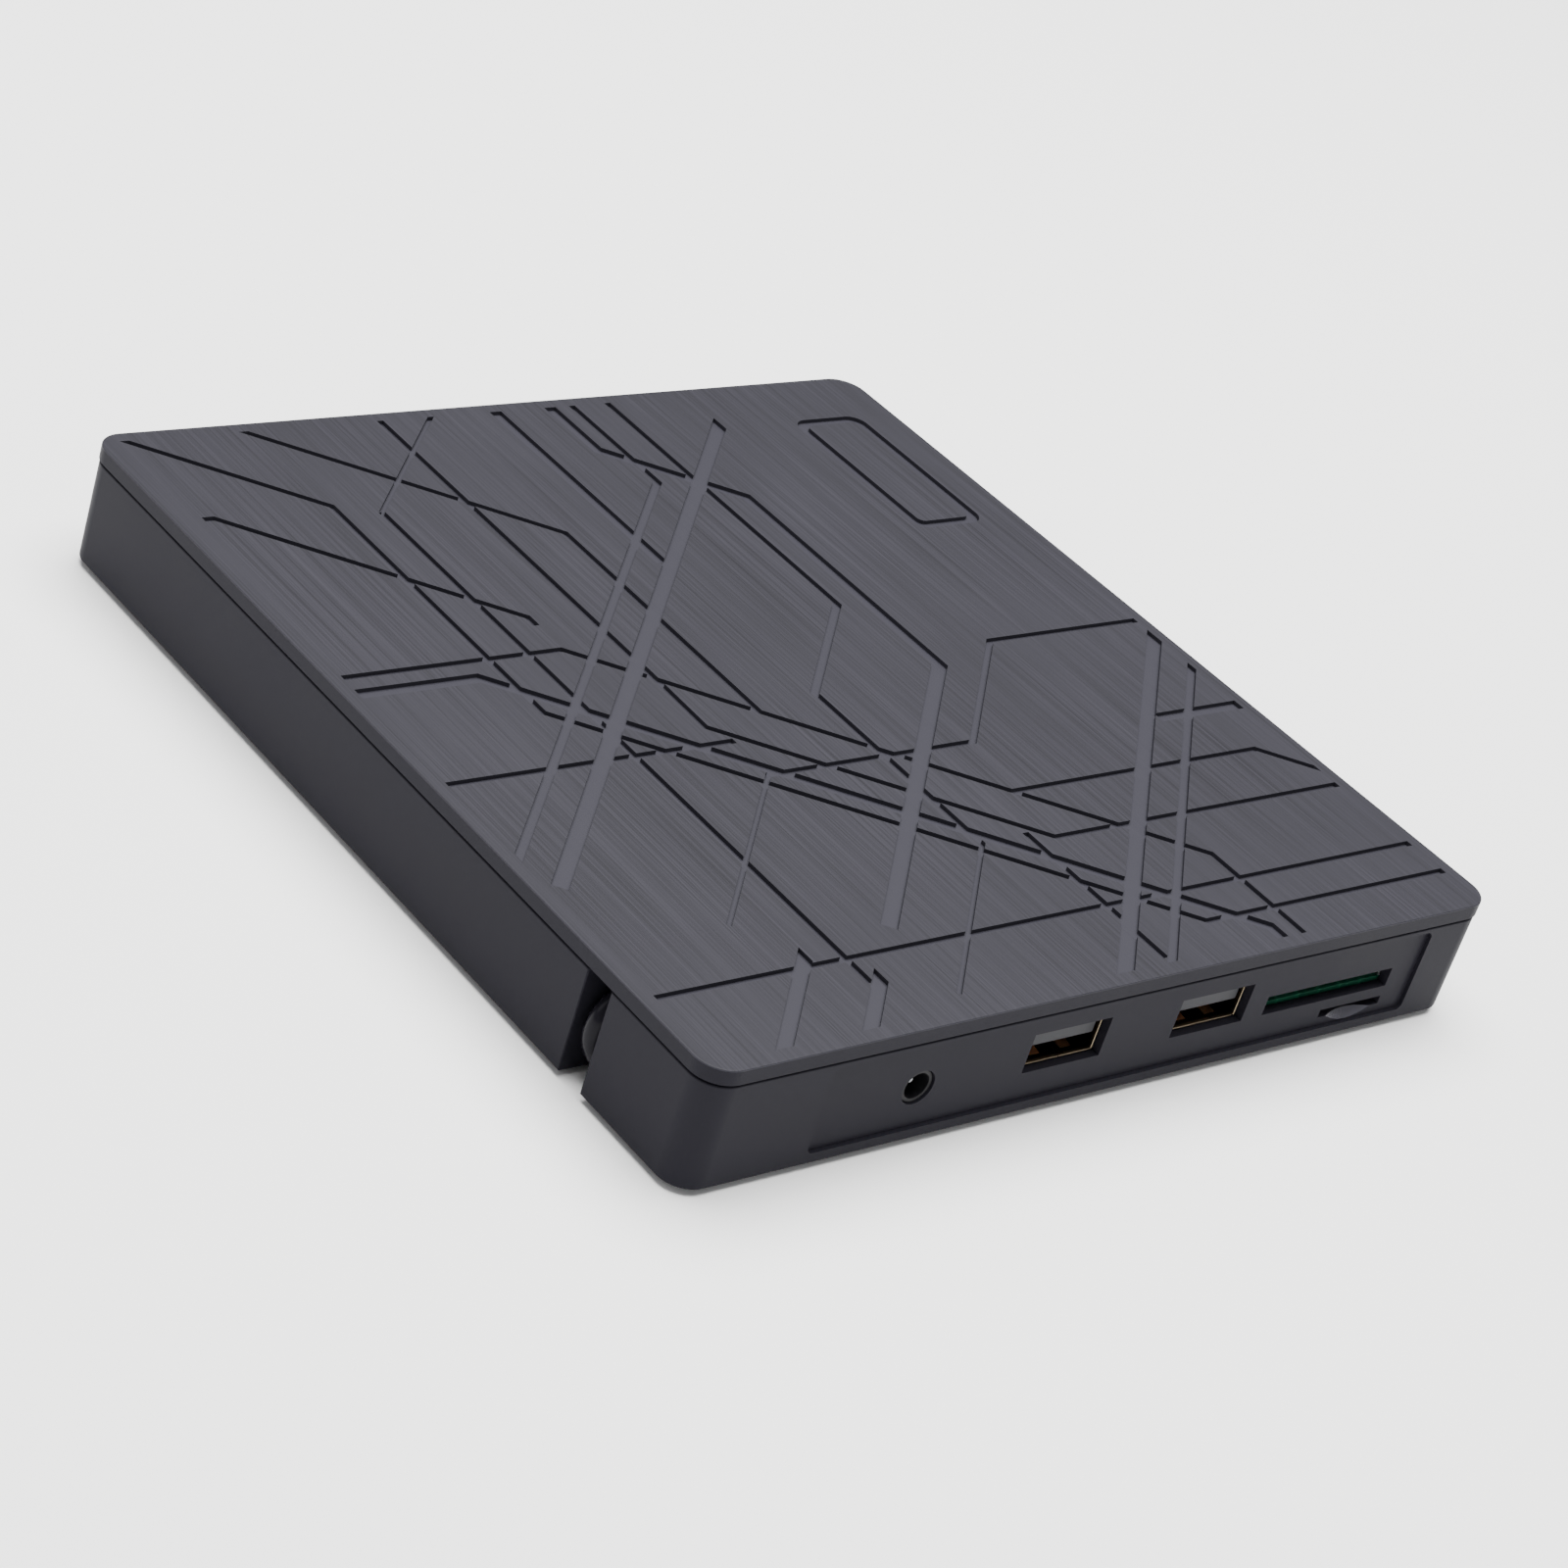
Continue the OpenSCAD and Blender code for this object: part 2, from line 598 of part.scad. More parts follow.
module tf_socket() color("#a5a5a8") difference() {
    block([tf_x - 7, sock_back, tf_z - 0.75], [tf_x + 7, pad_y - 0.1, board_z]);
    block([tf_x - tf_w / 2 + 0.4, sock_back + 0.8, tf_z - 0.5],
        [tf_x + tf_w / 2 - 0.4, pad_y + over, tf_z + 0.5]);
}

sata_x = [-26, 8];
disk_board_z = pan_z + 0.4;
disk_board_top = disk_board_z + 0.8;
sata_z = [disk_board_top + 0.5, disk_board_top + 1.5];

module sata_plug() color("#18181a") {
    block([sata_x[0], pan_back + 0.4, board_top], [sata_x[1], board_front + 3, sata_z[1] + 1.5]);
    block([sata_x[0] + 2, pan_back - 2.8, sata_z[0]], [sata_x[1] - 2, pan_back + 0.5, sata_z[1]]);
}

// Captive lead: inner end on the hub board, loop in the notch, then round the underside to the plug
LEAD = concat(
    [[loop_x - 19, loop_y + 7, board_top + lead_r + 0.1],
        [loop_x - 14, loop_y + 6.4, board_top + lead_r + 0.5],
        [loop_x - 9.5, loop_y + 4.2, loop_z + 2.6], [loop_x - 5.8, loop_y + 1.2, loop_top - 0.6],
        [loop_x - 3, loop_y, loop_top]],
    [for (a = [90 : -15 : -90]) [loop_x + loop_r * cos(a), loop_y, loop_z + loop_r * sin(a)]],
    [for (x = [loop_x - 8 : -10 : run_left + bend_r + 2]) [x, run_back, lead_z]],
    [for (a = [90 : 15 : 180])
        [run_left + bend_r * (1 + cos(a)), run_back + bend_r * (sin(a) - 1), lead_z]],
    [for (y = [run_back - bend_r - 9 : -10 : run_front + bend_r + 4]) [run_left, y, lead_z]],
    [for (a = [180 : 15 : 270])
        [run_left + bend_r * (1 + cos(a)), run_front + bend_r * (1 + sin(a)), lead_z]],
    [for (x = [run_left + bend_r + 8 : 10 : plug_x - 1]) [x, run_front, lead_z]],
    [[plug_x + 2, run_front, lead_z]]
);

function along(i) = LEAD[min(i + 1, len(LEAD) - 1)] - LEAD[max(i - 1, 0)];
function across(t, v) = unit(v - t * (t * v));
// One direction across the lead at each point, carried along so that the sides don't twist
ACROSS = [for (i = 0, v = across(unit(along(0)), [0, 1, 0]); i < len(LEAD);
    i = i + 1, v = across(unit(along(min(i, len(LEAD) - 1))), v)) v];
function ring(i) = let (a = ACROSS[i], b = cross(unit(along(i)), a))
    [for (k = [0 : lead_sides - 1]) let (turn = 360 * k / lead_sides)
        LEAD[i] + lead_r * (cos(turn) * a + sin(turn) * b)];

module usb_cable() color("#0f0f10") {
    n = len(LEAD);
    m = lead_sides;
    polyhedron([for (i = [0 : n - 1]) each ring(i)], concat(
        [[for (k = [0 : m - 1]) m - 1 - k]],
        [for (i = [0 : n - 2], k = [0 : m - 1]) each [
            [i * m + k, i * m + (k + 1) % m, (i + 1) * m + (k + 1) % m],
            [i * m + k, (i + 1) * m + (k + 1) % m, (i + 1) * m + k]]],
        [[for (k = [0 : m - 1]) (n - 1) * m + k]]), convexity = 10);
}

module cable_grommet() color("#161617") difference() {
    block([notch_in - rib_t - 1, loop_y - grommet_y + fit, grommet_z[0] + fit],
        [notch_in, loop_y + grommet_y - fit, grommet_z[1] - fit]);
    translate([0, loop_y, loop_top]) rod_x(lead_r + fit, notch_in - rib_t - 3, loop_x + 1);
}

module plug_grip() color("#131314") difference() {
    union() {
        block([plug_x + relief_l, run_front - grip_w / 2, grip_z - grip_t / 2],
            [plug_x + relief_l + grip_l, run_front + grip_w / 2, grip_z + grip_t / 2]);
        translate([plug_x, run_front, lead_z]) rotate([0, 90, 0])
            cylinder(r1 = lead_r + 0.25, r2 = lead_r + 0.45, h = relief_l + 1);
    }
    translate([0, run_front, lead_z]) rod_x(lead_r + fit, plug_x - over, plug_x + 2);
}

shell_z = 2.25;
shell_half = 6;
// Two square windows through each broad side: size, place across and distance from the mouth
window = 2.2;
window_at = [-2.6, 2.6];
window_in = 5.2;

module plug_shell() color("silver") difference() {
    block([plug_end - shell_l, run_front - shell_half, grip_z - shell_z],
        [plug_end, run_front + shell_half, grip_z + shell_z]);
    block([plug_end - shell_l + 0.5, run_front - shell_half + shell_t, grip_z - shell_z + shell_t],
        [plug_end + over, run_front + shell_half - shell_t, grip_z + shell_z - shell_t]);
    for (y = window_at)
        translate([plug_end - window_in - window, run_front + y - window / 2, grip_z - shell_z - over])
            cube([window, window, 2 * (shell_z + over)]);
}

module plug_tongue() color("#e8e8e6")
    block([plug_end - shell_l + 0.5, run_front - shell_half + shell_t + fit, grip_z - shell_z + shell_t],
        [plug_end - 0.4, run_front + shell_half - shell_t - fit, grip_z - 0.1]);

// Drive pan, roof, boards and rail guides
post_at = [-52.5, deep_back + 2];
guide_z = [rod_z - 1.3, rod_z + 2.1];
guide_t = 0.8;
guide_w = 1.7;

module drive_chassis() color("#a9abad") {
    difference() {
        block([-drive_x, pan_front, drive_bot], [drive_x, pan_back, roof_z]);
        block([-pan_x, pan_front - over, pan_z], [pan_x, pan_back - sheet, roof_z + over]);
        block([sata_x[0] - bay_gap, pan_back - sheet - over, disk_board_top - slip],
            [sata_x[1] + bay_gap, pan_back + over, sata_z[1] + 1.1]);
    }
    for (x = [-36, 46], y = [deep_back + 8, tray_back - 5])
        translate([x, y, pan_z]) cylinder(r = 1.5, h = disk_board_z - pan_z);
    translate([post_at.x, post_at.y, pan_z]) cylinder(r = 1, h = 3);
}

module drive_cover() color("#b4b6b8")
    block([-drive_x, pan_front, roof_z], [drive_x, pan_back, drive_top]);

module drive_board() color("#1d5f37")
    block([-40, deep_back + 3.5, disk_board_z], [50, tray_back - 0.5, disk_board_top]);

module drive_chips() color("#202022") chips([[-10, 30, 12], [18, 28, 9], [34, 36, 6]], disk_board_top, 1.1);

module sata_socket() color("#18181a") difference() {
    block([sata_x[0], pan_back - 5.4, disk_board_top], [sata_x[1], pan_back, sata_z[1] + 0.9]);
    block([sata_x[0] + 1.8, pan_back - 3.1, sata_z[0] - slip],
        [sata_x[1] - 1.8, pan_back + over, sata_z[1] + slip]);
}

// Flat lead between the boards, folded under the tray
module flex_cable() color("#c9a15b") translate([22, 0, pan_z]) rotate([90, 0, -90]) linear_extrude(12)
    polygon([[-deep_back - 8, 0], [flex_fold, 0], [flex_fold, 3.5 * film], [flex_end, 3.5 * film],
        [flex_end, 2.5 * film], [flex_fold - 0.1, 2.5 * film], [flex_fold - 0.1, film],
        [-deep_back - 8, film]]);
flex_fold = 40;
flex_end = 10;
film = 0.08;

module rail_guide() for (z = [guide_z[0] - guide_t, guide_z[1]])
    block([pan_x - guide_w, pan_front + 0.2, z], [pan_x, pan_back - sheet - 0.2, z + guide_t]);
module rail_guide_left() color("#2a2a2c") mirror([1, 0, 0]) rail_guide();
module rail_guide_right() color("#2a2a2c") rail_guide();

// Telescopic rail: a channel round the tray's tongue
rail_z = [guide_z[0] + slip, guide_z[1] - slip];
rail_l = [pan_front + 2, pan_back - sheet - 0.7];
tongue_z = [rail_z[0] + 1, rail_z[1] - 1];

module rail() difference() {
    block([pan_x - guide_w - 0.1, rail_l[0], rail_z[0]], [pan_x - slip, rail_l[1], rail_z[1]]);
    block([pan_x - guide_w - over, rail_l[0] - over, tongue_z[0] - slip],
        [pan_x - 0.8, rail_l[1] + over, tongue_z[1] + slip]);
}
module rail_left() color("#c3c5c7") mirror([1, 0, 0]) rail();
module rail_right() color("#c3c5c7") rail();

// Tray with its disc well, skirt, tongues and latch pivot
pivot_at = [-46, deep_back - 9];
pivot_r = 1;
lever_z = [skirt_z + 0.85, skirt_z + 2.05];
lever_t = lever_z[1] - lever_z[0];
lever_l = 15;
latch_gate = [-52, -42];
nook_x = [19.5, 51];
nook_y = bezel_y + 4.8;
nook_z = well_z - 0.7;
front_t = 1.2;
frame_gap = 0.8;
switch_y = nook_y - 1.9;
button_back = bezel_y - button_travel;
stem_r = 0.9;

module tray() color("#232326") {
    difference() {
        union() {
            block([-tray_x, bezel_y, well_z - well_t], [tray_x, tray_back, tray_top]);
            difference() {
                block([-tray_x, bezel_y, skirt_z], [tray_x, deep_back, well_z - well_t]);
                block([-tray_x + skirt_t, bezel_y + front_t, skirt_z - over],
                    [tray_x - skirt_t, deep_back - skirt_t, well_z - well_t]);
                block([latch_gate[0], deep_back - skirt_t - over, skirt_z - over],
                    [latch_gate[1], deep_back + over, lever_z[1] + 0.3]);
            }
            for (flip = [0, 1]) mirror([flip, 0, 0])
                block([tray_x - over, bezel_y + 12, tongue_z[0]], [tray_x + 1, tray_back, tongue_z[1]]);
        }
        translate([0, spindle_y, well_z]) cylinder(r = well_r, h = 10, $fn = 128);
        on_sled() block([frame_s[0] - frame_gap, -frame_half - frame_gap, skirt_z - over],
            [frame_s[1] + frame_gap, frame_half + frame_gap, tray_top + over]);
        on_sled() for (e = ear_at) translate([e.x, e.y, skirt_z])
            cylinder(r = screw_r + fit, h = well_z - 0.25 - skirt_z);
        block([nook_x[0], bezel_y + front_t, skirt_z - over], [nook_x[1], nook_y, nook_z]);
        front_hole(button_x, stem_r + slip);
        front_hole(pipe_x, pipe_r + fit);
        front_hole(pinhole_x, pinhole_r);
    }
    translate([pivot_at.x, pivot_at.y, lever_z[0] - 0.2])
        cylinder(r = pivot_r, h = well_z - well_t - lever_z[0] + 0.4);
}

// A round hole through the bezel and the tray's front wall
module front_hole(x, r) translate([x, -half_d - over, button_z]) rotate([-90, 0, 0])
    cylinder(r = r, h = bezel_t + over + 3);

module tray_bezel() color("#2b2a2e") difference() {
    block([-drive_x + slip, -half_d, drive_bot + slip], [drive_x - slip, bezel_y, drive_top - slip]);
    block([button_x - button_w / 2 - slip, -half_d - over, button_z - button_h / 2 - slip],
        [button_x + button_w / 2 + slip, bezel_y + over, button_z + button_h / 2 + slip]);
    front_hole(pipe_x, pipe_r + fit);
    front_hole(pinhole_x, pinhole_r);
}

module tray_bottom() color("#8f9193")
    block([-tray_x, bezel_y + slip, skirt_z - bottom_t], [tray_x, deep_back, skirt_z]);

module light_pipe() color("#cfe3ee") translate([pipe_x, -half_d + 0.05, button_z]) rotate([-90, 0, 0])
    cylinder(r = pipe_r, h = bezel_t + 2);

module switch_board() color("#1f6b3a") {
    block([nook_x[0] + 0.7, bezel_y + front_t + 0.1, skirt_z + slip],
        [nook_x[1] - 0.7, nook_y - 0.1, skirt_z + slip + 0.6]);
    for (at = [[button_x, 2.5], [pipe_x, 1.2]])
        block([at.x - at.y, switch_y, skirt_z + 0.7], [at.x + at.y, nook_y - 0.2, button_z + 0.8]);
}

module eject_button() color("#38373b") {
    block([button_x - button_w / 2, -half_d, button_z - button_h / 2],
        [button_x + button_w / 2, button_back, button_z + button_h / 2]);
    translate([button_x, button_back - 0.1, button_z]) rotate([-90, 0, 0])
        cylinder(r = stem_r, h = switch_y - button_travel - button_back);
}

// Pickup mechanism, drawn along its travel
// An ear of the frame, which a damper seats on
module ear(e) mirror([0, e.y < 0 ? 1 : 0, 0])
    block([e.x - 3, frame_half - 0.1, ear_z], [e.x + 3, ear_out + 3, ear_z + ear_t]);

module traverse_frame() color("#3a3b3d") on_sled() difference() {
    union() {
        difference() {
            block([frame_s[0], -frame_half, frame_z], [frame_s[1], frame_half, cover_z]);
            block([frame_s[0] + 1.4, -frame_in, frame_z + 0.5], [frame_s[1] - 1.2, frame_in, cover_z + over]);
            block([carriage_s[0] - 0.3, -frame_in, frame_z - over], [frame_s[1] - 1.2, frame_in, cover_z]);
        }
        for (t = [[-frame_in - 0.1, screw_t + 2], [rod_t - 1.6, frame_in + 0.1]])
            block([carriage_s[0] - 1.9, t[0], frame_z], [carriage_s[0] - 0.3, t[1], rod_z + 1.5]);
        block([motor_s - 1.4, -frame_in - 0.1, frame_z], [motor_s, screw_t + 2.2, rod_z + 1.5]);
        for (e = ear_at) ear(e);
    }
    for (e = ear_at) translate([e.x, e.y, ear_z - over]) cylinder(r = screw_r + slip, h = ear_t + 2 * over);
    translate([0, rod_t, rod_z]) rod_x(rod_r + 0.02, carriage_s[0] - 3, frame_s[1] - 0.4);
    translate([0, -rod_t, rod_z]) rod_x(rod_r + 0.02, carriage_s[0] - 3, motor_s - 0.2);
    translate([0, screw_t, rod_z]) rod_x(journal_r + fit, carriage_s[0] - 3, motor_s + over);
}

module traverse_cover() color("#1b1b1d") difference() {
    on_sled() block([frame_s[0], -frame_half, cover_z], [frame_s[1], frame_half, well_z]);
    translate([0, spindle_y, cover_z - over]) cylinder(r = turntable_r + 0.6, h = 3);
    on_sled() block([lens_s - 8, -7.6, cover_z - over], [lens_s + sled_travel + 5, 7.6, well_z + over]);
}

module traverse_dampers() color("#151516") on_sled() for (e = ear_at) translate([e.x, e.y, ear_z + ear_t])
    difference() {
        cylinder(r = 2.6, h = well_z - well_t - ear_z - ear_t);
        translate([0, 0, -over]) cylinder(r = screw_r + slip, h = 5);
    }

module traverse_screws() color("silver") on_sled() for (e = ear_at) translate([e.x, e.y, ear_z]) {
    translate([0, 0, -0.6]) cylinder(r = screw_head_r, h = 0.6);
    cylinder(r = screw_r, h = well_z - 0.3 - ear_z);
}

module guide_rod_main() color("#d5d7d9") on_sled() translate([0, rod_t, rod_z])
    rod_x(rod_r, carriage_s[0] - 1.8, frame_s[1] - 0.45);
module guide_rod_side() color("#d5d7d9") on_sled() translate([0, -rod_t, rod_z])
    rod_x(rod_r, carriage_s[0] - 1.8, motor_s - 0.25);

// Spindle motor: fixed windings, turning bell, turntable with the disc hub
spindle_r = 1;
tooth_w = 1.2;
stator_z = frame_z + 0.5;
bell_z = cover_z - 0.1;
table_z = well_z + 0.4;
hub_h = 1.9;
hub_bevel = 0.4;

module spindle_stator() color("#8a5a2b") translate([0, spindle_y, stator_z]) difference() {
    union() {
        cylinder(r = bell_r + 0.6, h = 0.4);
        cylinder(r = 2.2, h = 2.3);
        for (a = [0 : 40 : 359]) rotate(a) block([2, -tooth_w / 2, 0.3], [bell_r - 1.3, tooth_w / 2, 2]);
    }
    translate([0, 0, 0.2]) cylinder(r = spindle_r + fit, h = 5);
}

module spindle_bell() color("#b9bbbd") translate([0, spindle_y, 0]) {
    difference() {
        translate([0, 0, stator_z + 0.7]) cylinder(r = bell_r, h = bell_z - stator_z - 0.7);
        translate([0, 0, stator_z]) cylinder(r = bell_r - 0.7, h = bell_z - stator_z - 0.7);
    }
    translate([0, 0, stator_z + 0.4]) cylinder(r = spindle_r, h = bell_z - stator_z - 0.5);
}

module turntable() color("#2e2f31") translate([0, spindle_y, 0]) difference() {
    union() {
        translate([0, 0, bell_z]) cylinder(r = turntable_r, h = table_z - bell_z);
        translate([0, 0, table_z]) cylinder(r = hub_r, h = hub_h - hub_bevel);
        translate([0, 0, table_z + hub_h - hub_bevel])
            cylinder(r1 = hub_r, r2 = hub_r - hub_bevel, h = hub_bevel);
    }
    for (a = [0, 120, 240]) rotate(a)
        block([hub_r - 1.6, -1.1, table_z + 0.3], [hub_r + over, 1.1, table_z + 5]);
    translate([0, 0, table_z + 0.6]) cylinder(r = hub_r - 3.4, h = 5);
}

// Pickup: carriage on its rods, lens on its holder, lead screw and its motor
arm_z = rod_z + leadscrew_r + 0.1;
lens_r = 2.2;
lens_z = cover_z - 2;
lens_t = 1.15;
lens_curve = 4;

module pickup_carriage() color("#77797b") on_sled() difference() {
    union() {
        block([carriage_s[0], screw_t + 2.6, sled_z[0]], [carriage_s[1], rod_t + 1.5, sled_z[1] - 0.3]);
        block([carriage_s[0], -rod_t - 1.4, arm_z], [carriage_s[0] + 5, screw_t + 3.6, sled_z[1]]);
        block([carriage_s[0], -rod_t - 1.4, sled_z[0]], [carriage_s[0] + 5, -rod_t + 1.4, sled_z[1]]);
    }
    for (t = [-rod_t, rod_t]) translate([0, t, rod_z])
        rod_x(rod_r + fit, carriage_s[0] - over, carriage_s[1] + over);
    block([lens_s - 5, -5, lens_z - 0.5], [lens_s + 5, 5, sled_z[1] + over]);
}

module lens_holder() color("#1d1d1f") on_sled() difference() {
    block([lens_s - 4.5, -4.5, lens_z], [lens_s + 4.5, 4.5, cover_z - 0.4]);
    translate([lens_s, 0, lens_z + 0.8]) cylinder(r = lens_r, h = 3);
}

module lens() color("#8fb4d8") on_sled() translate([lens_s, 0, lens_z + 0.8]) rotate_extrude()
    intersection() {
        square([lens_r - 0.03, lens_t]);
        translate([0, lens_t - lens_curve]) circle(lens_curve);
    }

module lead_screw() color("#cdb26a") on_sled() translate([0, screw_t, rod_z]) {
    rod_x(journal_r, carriage_s[0] - 1.7, motor_s + 4);
    rod_x(leadscrew_r, carriage_s[0] - 0.1, motor_s - 1.6);
}

module sled_motor() color("#9fa1a3") on_sled() intersection() {
    difference() {
        translate([0, screw_t, rod_z]) rod_x(motor_r, motor_s, frame_s[1] - 1.4);
        translate([0, screw_t, rod_z]) rod_x(journal_r + fit, motor_s - over, motor_s + 4.2);
    }
    block([0, -frame_half, frame_z], [frame_s[1], 0, cover_z]);
}

// Tray latch: the lever hooks behind the pan's post when it swings in
module lock_lever() color("#d8d5cc") translate([pivot_at.x, pivot_at.y, lever_z[0]]) difference() {
    union() {
        cylinder(r = 2.2, h = lever_t);
        block([-1.2, 0, 0], [1.2, lever_l, lever_t]);
        block([-3, lever_l - 1, 0], [1.2, lever_l + 0.6, lever_t]);
    }
    translate([0, 0, -over]) cylinder(r = pivot_r + fit, h = 5);
}

module lock_solenoid() color("#6e4a26") translate([pivot_at.x + 4, pivot_at.y - 5, skirt_z + 0.4])
    cube([12, 8, well_z - well_t - skirt_z - 0.4]);

top_cover();
lower_case();
rubber_feet();
case_screws();
hub_board();
hub_chips();
dc_jack();
dc_pin();
usb_shell_1();
usb_shell_2();
usb_tongue_1();
usb_tongue_2();
usb_contacts_1();
usb_contacts_2();
sd_socket();
sd_contacts();
tf_socket();
sata_plug();
cable_grommet();
usb_cable();
plug_grip();
plug_shell();
plug_tongue();
drive_chassis();
drive_cover();
drive_board();
drive_chips();
sata_socket();
flex_cable();
rail_guide_left();
rail_guide_right();
rail_left();
rail_right();
tray();
tray_bezel();
tray_bottom();
traverse_frame();
traverse_cover();
traverse_dampers();
traverse_screws();
guide_rod_main();
guide_rod_side();
spindle_stator();
sled_motor();
light_pipe();
switch_board();
lock_solenoid();
eject_button();
spindle_bell();
turntable();
pickup_carriage();
lens_holder();
lens();
lead_screw();
lock_lever();
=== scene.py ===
"""External disc burner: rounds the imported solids, gives each its real finish and lights a plain studio."""

import json
import math

import bmesh
import bpy
from bpy.props import FloatProperty, FloatVectorProperty, PointerProperty
from mathutils import Matrix, Vector


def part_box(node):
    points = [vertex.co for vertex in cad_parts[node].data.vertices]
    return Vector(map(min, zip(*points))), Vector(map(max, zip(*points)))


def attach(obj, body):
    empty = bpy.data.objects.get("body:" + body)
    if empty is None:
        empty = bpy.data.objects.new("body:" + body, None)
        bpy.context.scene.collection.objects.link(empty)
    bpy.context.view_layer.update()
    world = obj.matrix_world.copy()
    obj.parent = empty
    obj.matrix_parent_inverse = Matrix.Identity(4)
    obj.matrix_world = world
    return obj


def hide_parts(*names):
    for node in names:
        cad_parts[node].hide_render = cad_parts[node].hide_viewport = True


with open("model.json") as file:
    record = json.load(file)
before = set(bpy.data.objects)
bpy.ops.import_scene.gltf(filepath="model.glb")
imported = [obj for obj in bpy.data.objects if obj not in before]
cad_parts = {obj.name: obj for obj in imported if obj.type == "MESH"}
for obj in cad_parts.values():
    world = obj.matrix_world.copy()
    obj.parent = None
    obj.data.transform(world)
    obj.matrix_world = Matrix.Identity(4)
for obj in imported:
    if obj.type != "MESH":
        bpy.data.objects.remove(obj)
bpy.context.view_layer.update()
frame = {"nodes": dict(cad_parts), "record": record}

bl_info = {
    "name": "Disc burner dresser",
    "version": (1, 0, 0),
    "blender": (4, 5, 0),
    "location": "View3D > Sidebar > Disc burner",
    "description": "Rounds, colours and lights the packed disc burner",
    "category": "Object",
}

MM = 0.001
# A wave texture's phase grows by this many radians in a unit, and a band takes a full turn
WAVE_TURN = 20
# Corners closer than this are joined, and faces that turn by less than this become one face
MERGE = 0.002 * MM
FLAT = math.radians(0.5)
# An edge that turns by more than this is a real edge, which moulding or pressing rounds
EDGE_TURN = math.radians(28)
# Shading runs smoothly over an edge that turns by less than this
SMOOTH_TURN = math.radians(38)

BODY_OF = {
    node: body
    for body, nodes in frame["record"]["behaviour"]["bodies"].items()
    for node in nodes
}

COVER_LOW, COVER_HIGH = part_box("top_cover")
CASE_LOW, CASE_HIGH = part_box("lower_case")


def srgb(code):
    """A hex colour as linear red, green, blue and alpha."""
    parts = [int(code[i : i + 2], 16) / 255 for i in (1, 3, 5)]
    line = [c / 12.92 if c <= 0.04045 else ((c + 0.055) / 1.055) ** 2.4 for c in parts]
    return (*line, 1.0)


def shade(color, factor):
    """A colour made lighter or darker, as red, green, blue and alpha."""
    return (*[min(1.0, c * factor) for c in color[:3]], 1.0)


def add(material, kind, values=None, links=None, **settings):
    """Adds one node to a material with its settings, socket values and links."""
    node = material.node_tree.nodes.new(kind)
    for name, value in settings.items():
        setattr(node, name, value)
    for socket, value in (values or {}).items():
        node.inputs[socket].default_value = value
    for socket, source in (links or {}).items():
        material.node_tree.links.new(source, node.inputs[socket])
    return node


def blank(name):
    """A new material, its shader and the object's own coordinates."""
    material = bpy.data.materials.new(name)
    material.use_nodes = True
    material.node_tree.nodes.clear()
    shader = add(material, "ShaderNodeBsdfPrincipled")
    add(material, "ShaderNodeOutputMaterial", links={"Surface": shader.outputs["BSDF"]})
    place = add(material, "ShaderNodeTexCoord").outputs["Object"]
    return material, shader, place


def link(material, source, shader, socket):
    """Joins a node's output to a shader's socket."""
    material.node_tree.links.new(source, shader.inputs[socket])


class CoverSettings(bpy.types.PropertyGroup):
    """Sizes and colours of the top cover."""

    color: FloatVectorProperty(
        name="Cover colour", description="Charcoal of the brushed face", subtype="COLOR",
        size=3, min=0, max=1, default=srgb("#242329")[:3])
    # The grooves' colour is painted a little lighter than the face, as a painted sheen of their smooth
    # floors
    groove_sheen_color: FloatVectorProperty(
        name="Groove colour", description="Smooth floors and walls of the grooves", subtype="COLOR",
        size=3, min=0, max=1, default=srgb("#2a2930")[:3])
    edge_round: FloatProperty(
        name="Edge radius", description="Rounding of the cover's upper edge", unit="LENGTH",
        default=0.18 * MM, min=0.1 * MM, max=0.5 * MM)
    streak_width: FloatProperty(
        name="Streak width", description="Width of the brushed streaks", unit="LENGTH",
        default=0.24 * MM, min=0.1 * MM, max=1 * MM)
    streak_length: FloatProperty(
        name="Streak length", description="Length of the brushed streaks", unit="LENGTH",
        default=60 * MM, min=10 * MM, max=200 * MM)
    groove_depth: FloatProperty(
        name="Groove depth", description="Depth of the grooves in the solid", unit="LENGTH",
        default=0.6 * MM, min=0.3 * MM, max=0.7 * MM)


class CaseSettings(bpy.types.PropertyGroup):
    """Sizes and colours of the lower case and the tray front."""

    color: FloatVectorProperty(
        name="Case colour", description="Satin charcoal of the lower case", subtype="COLOR",
        size=3, min=0, max=1, default=srgb("#1f1e24")[:3])
    bezel_color: FloatVectorProperty(
        name="Bezel colour", description="Tray front and eject button", subtype="COLOR",
        size=3, min=0, max=1, default=srgb("#1a191e")[:3])
    edge_round: FloatProperty(
        name="Edge radius", description="Rounding of the case's outer edges", unit="LENGTH",
        default=0.25 * MM, min=0.1 * MM, max=0.5 * MM)
    corner: FloatProperty(
        name="Corner radius", description="Radius of the case's upright corners in the solid",
        unit="LENGTH", default=4.35 * MM, min=2 * MM, max=8 * MM)
    grain: FloatProperty(
        name="Grain size", description="Size of the moulded grain", unit="LENGTH",
        default=0.45 * MM, min=0.1 * MM, max=2 * MM)


class LeadSettings(bpy.types.PropertyGroup):
    """Size and colour of the captive lead."""

    color: FloatVectorProperty(
        name="Lead colour", description="Glossy black sheath", subtype="COLOR",
        size=3, min=0, max=1, default=srgb("#18171c")[:3])
    diameter: FloatProperty(
        name="Lead diameter", description="Diameter of the sheath", unit="LENGTH",
        default=3.6 * MM, min=3 * MM, max=3.8 * MM)


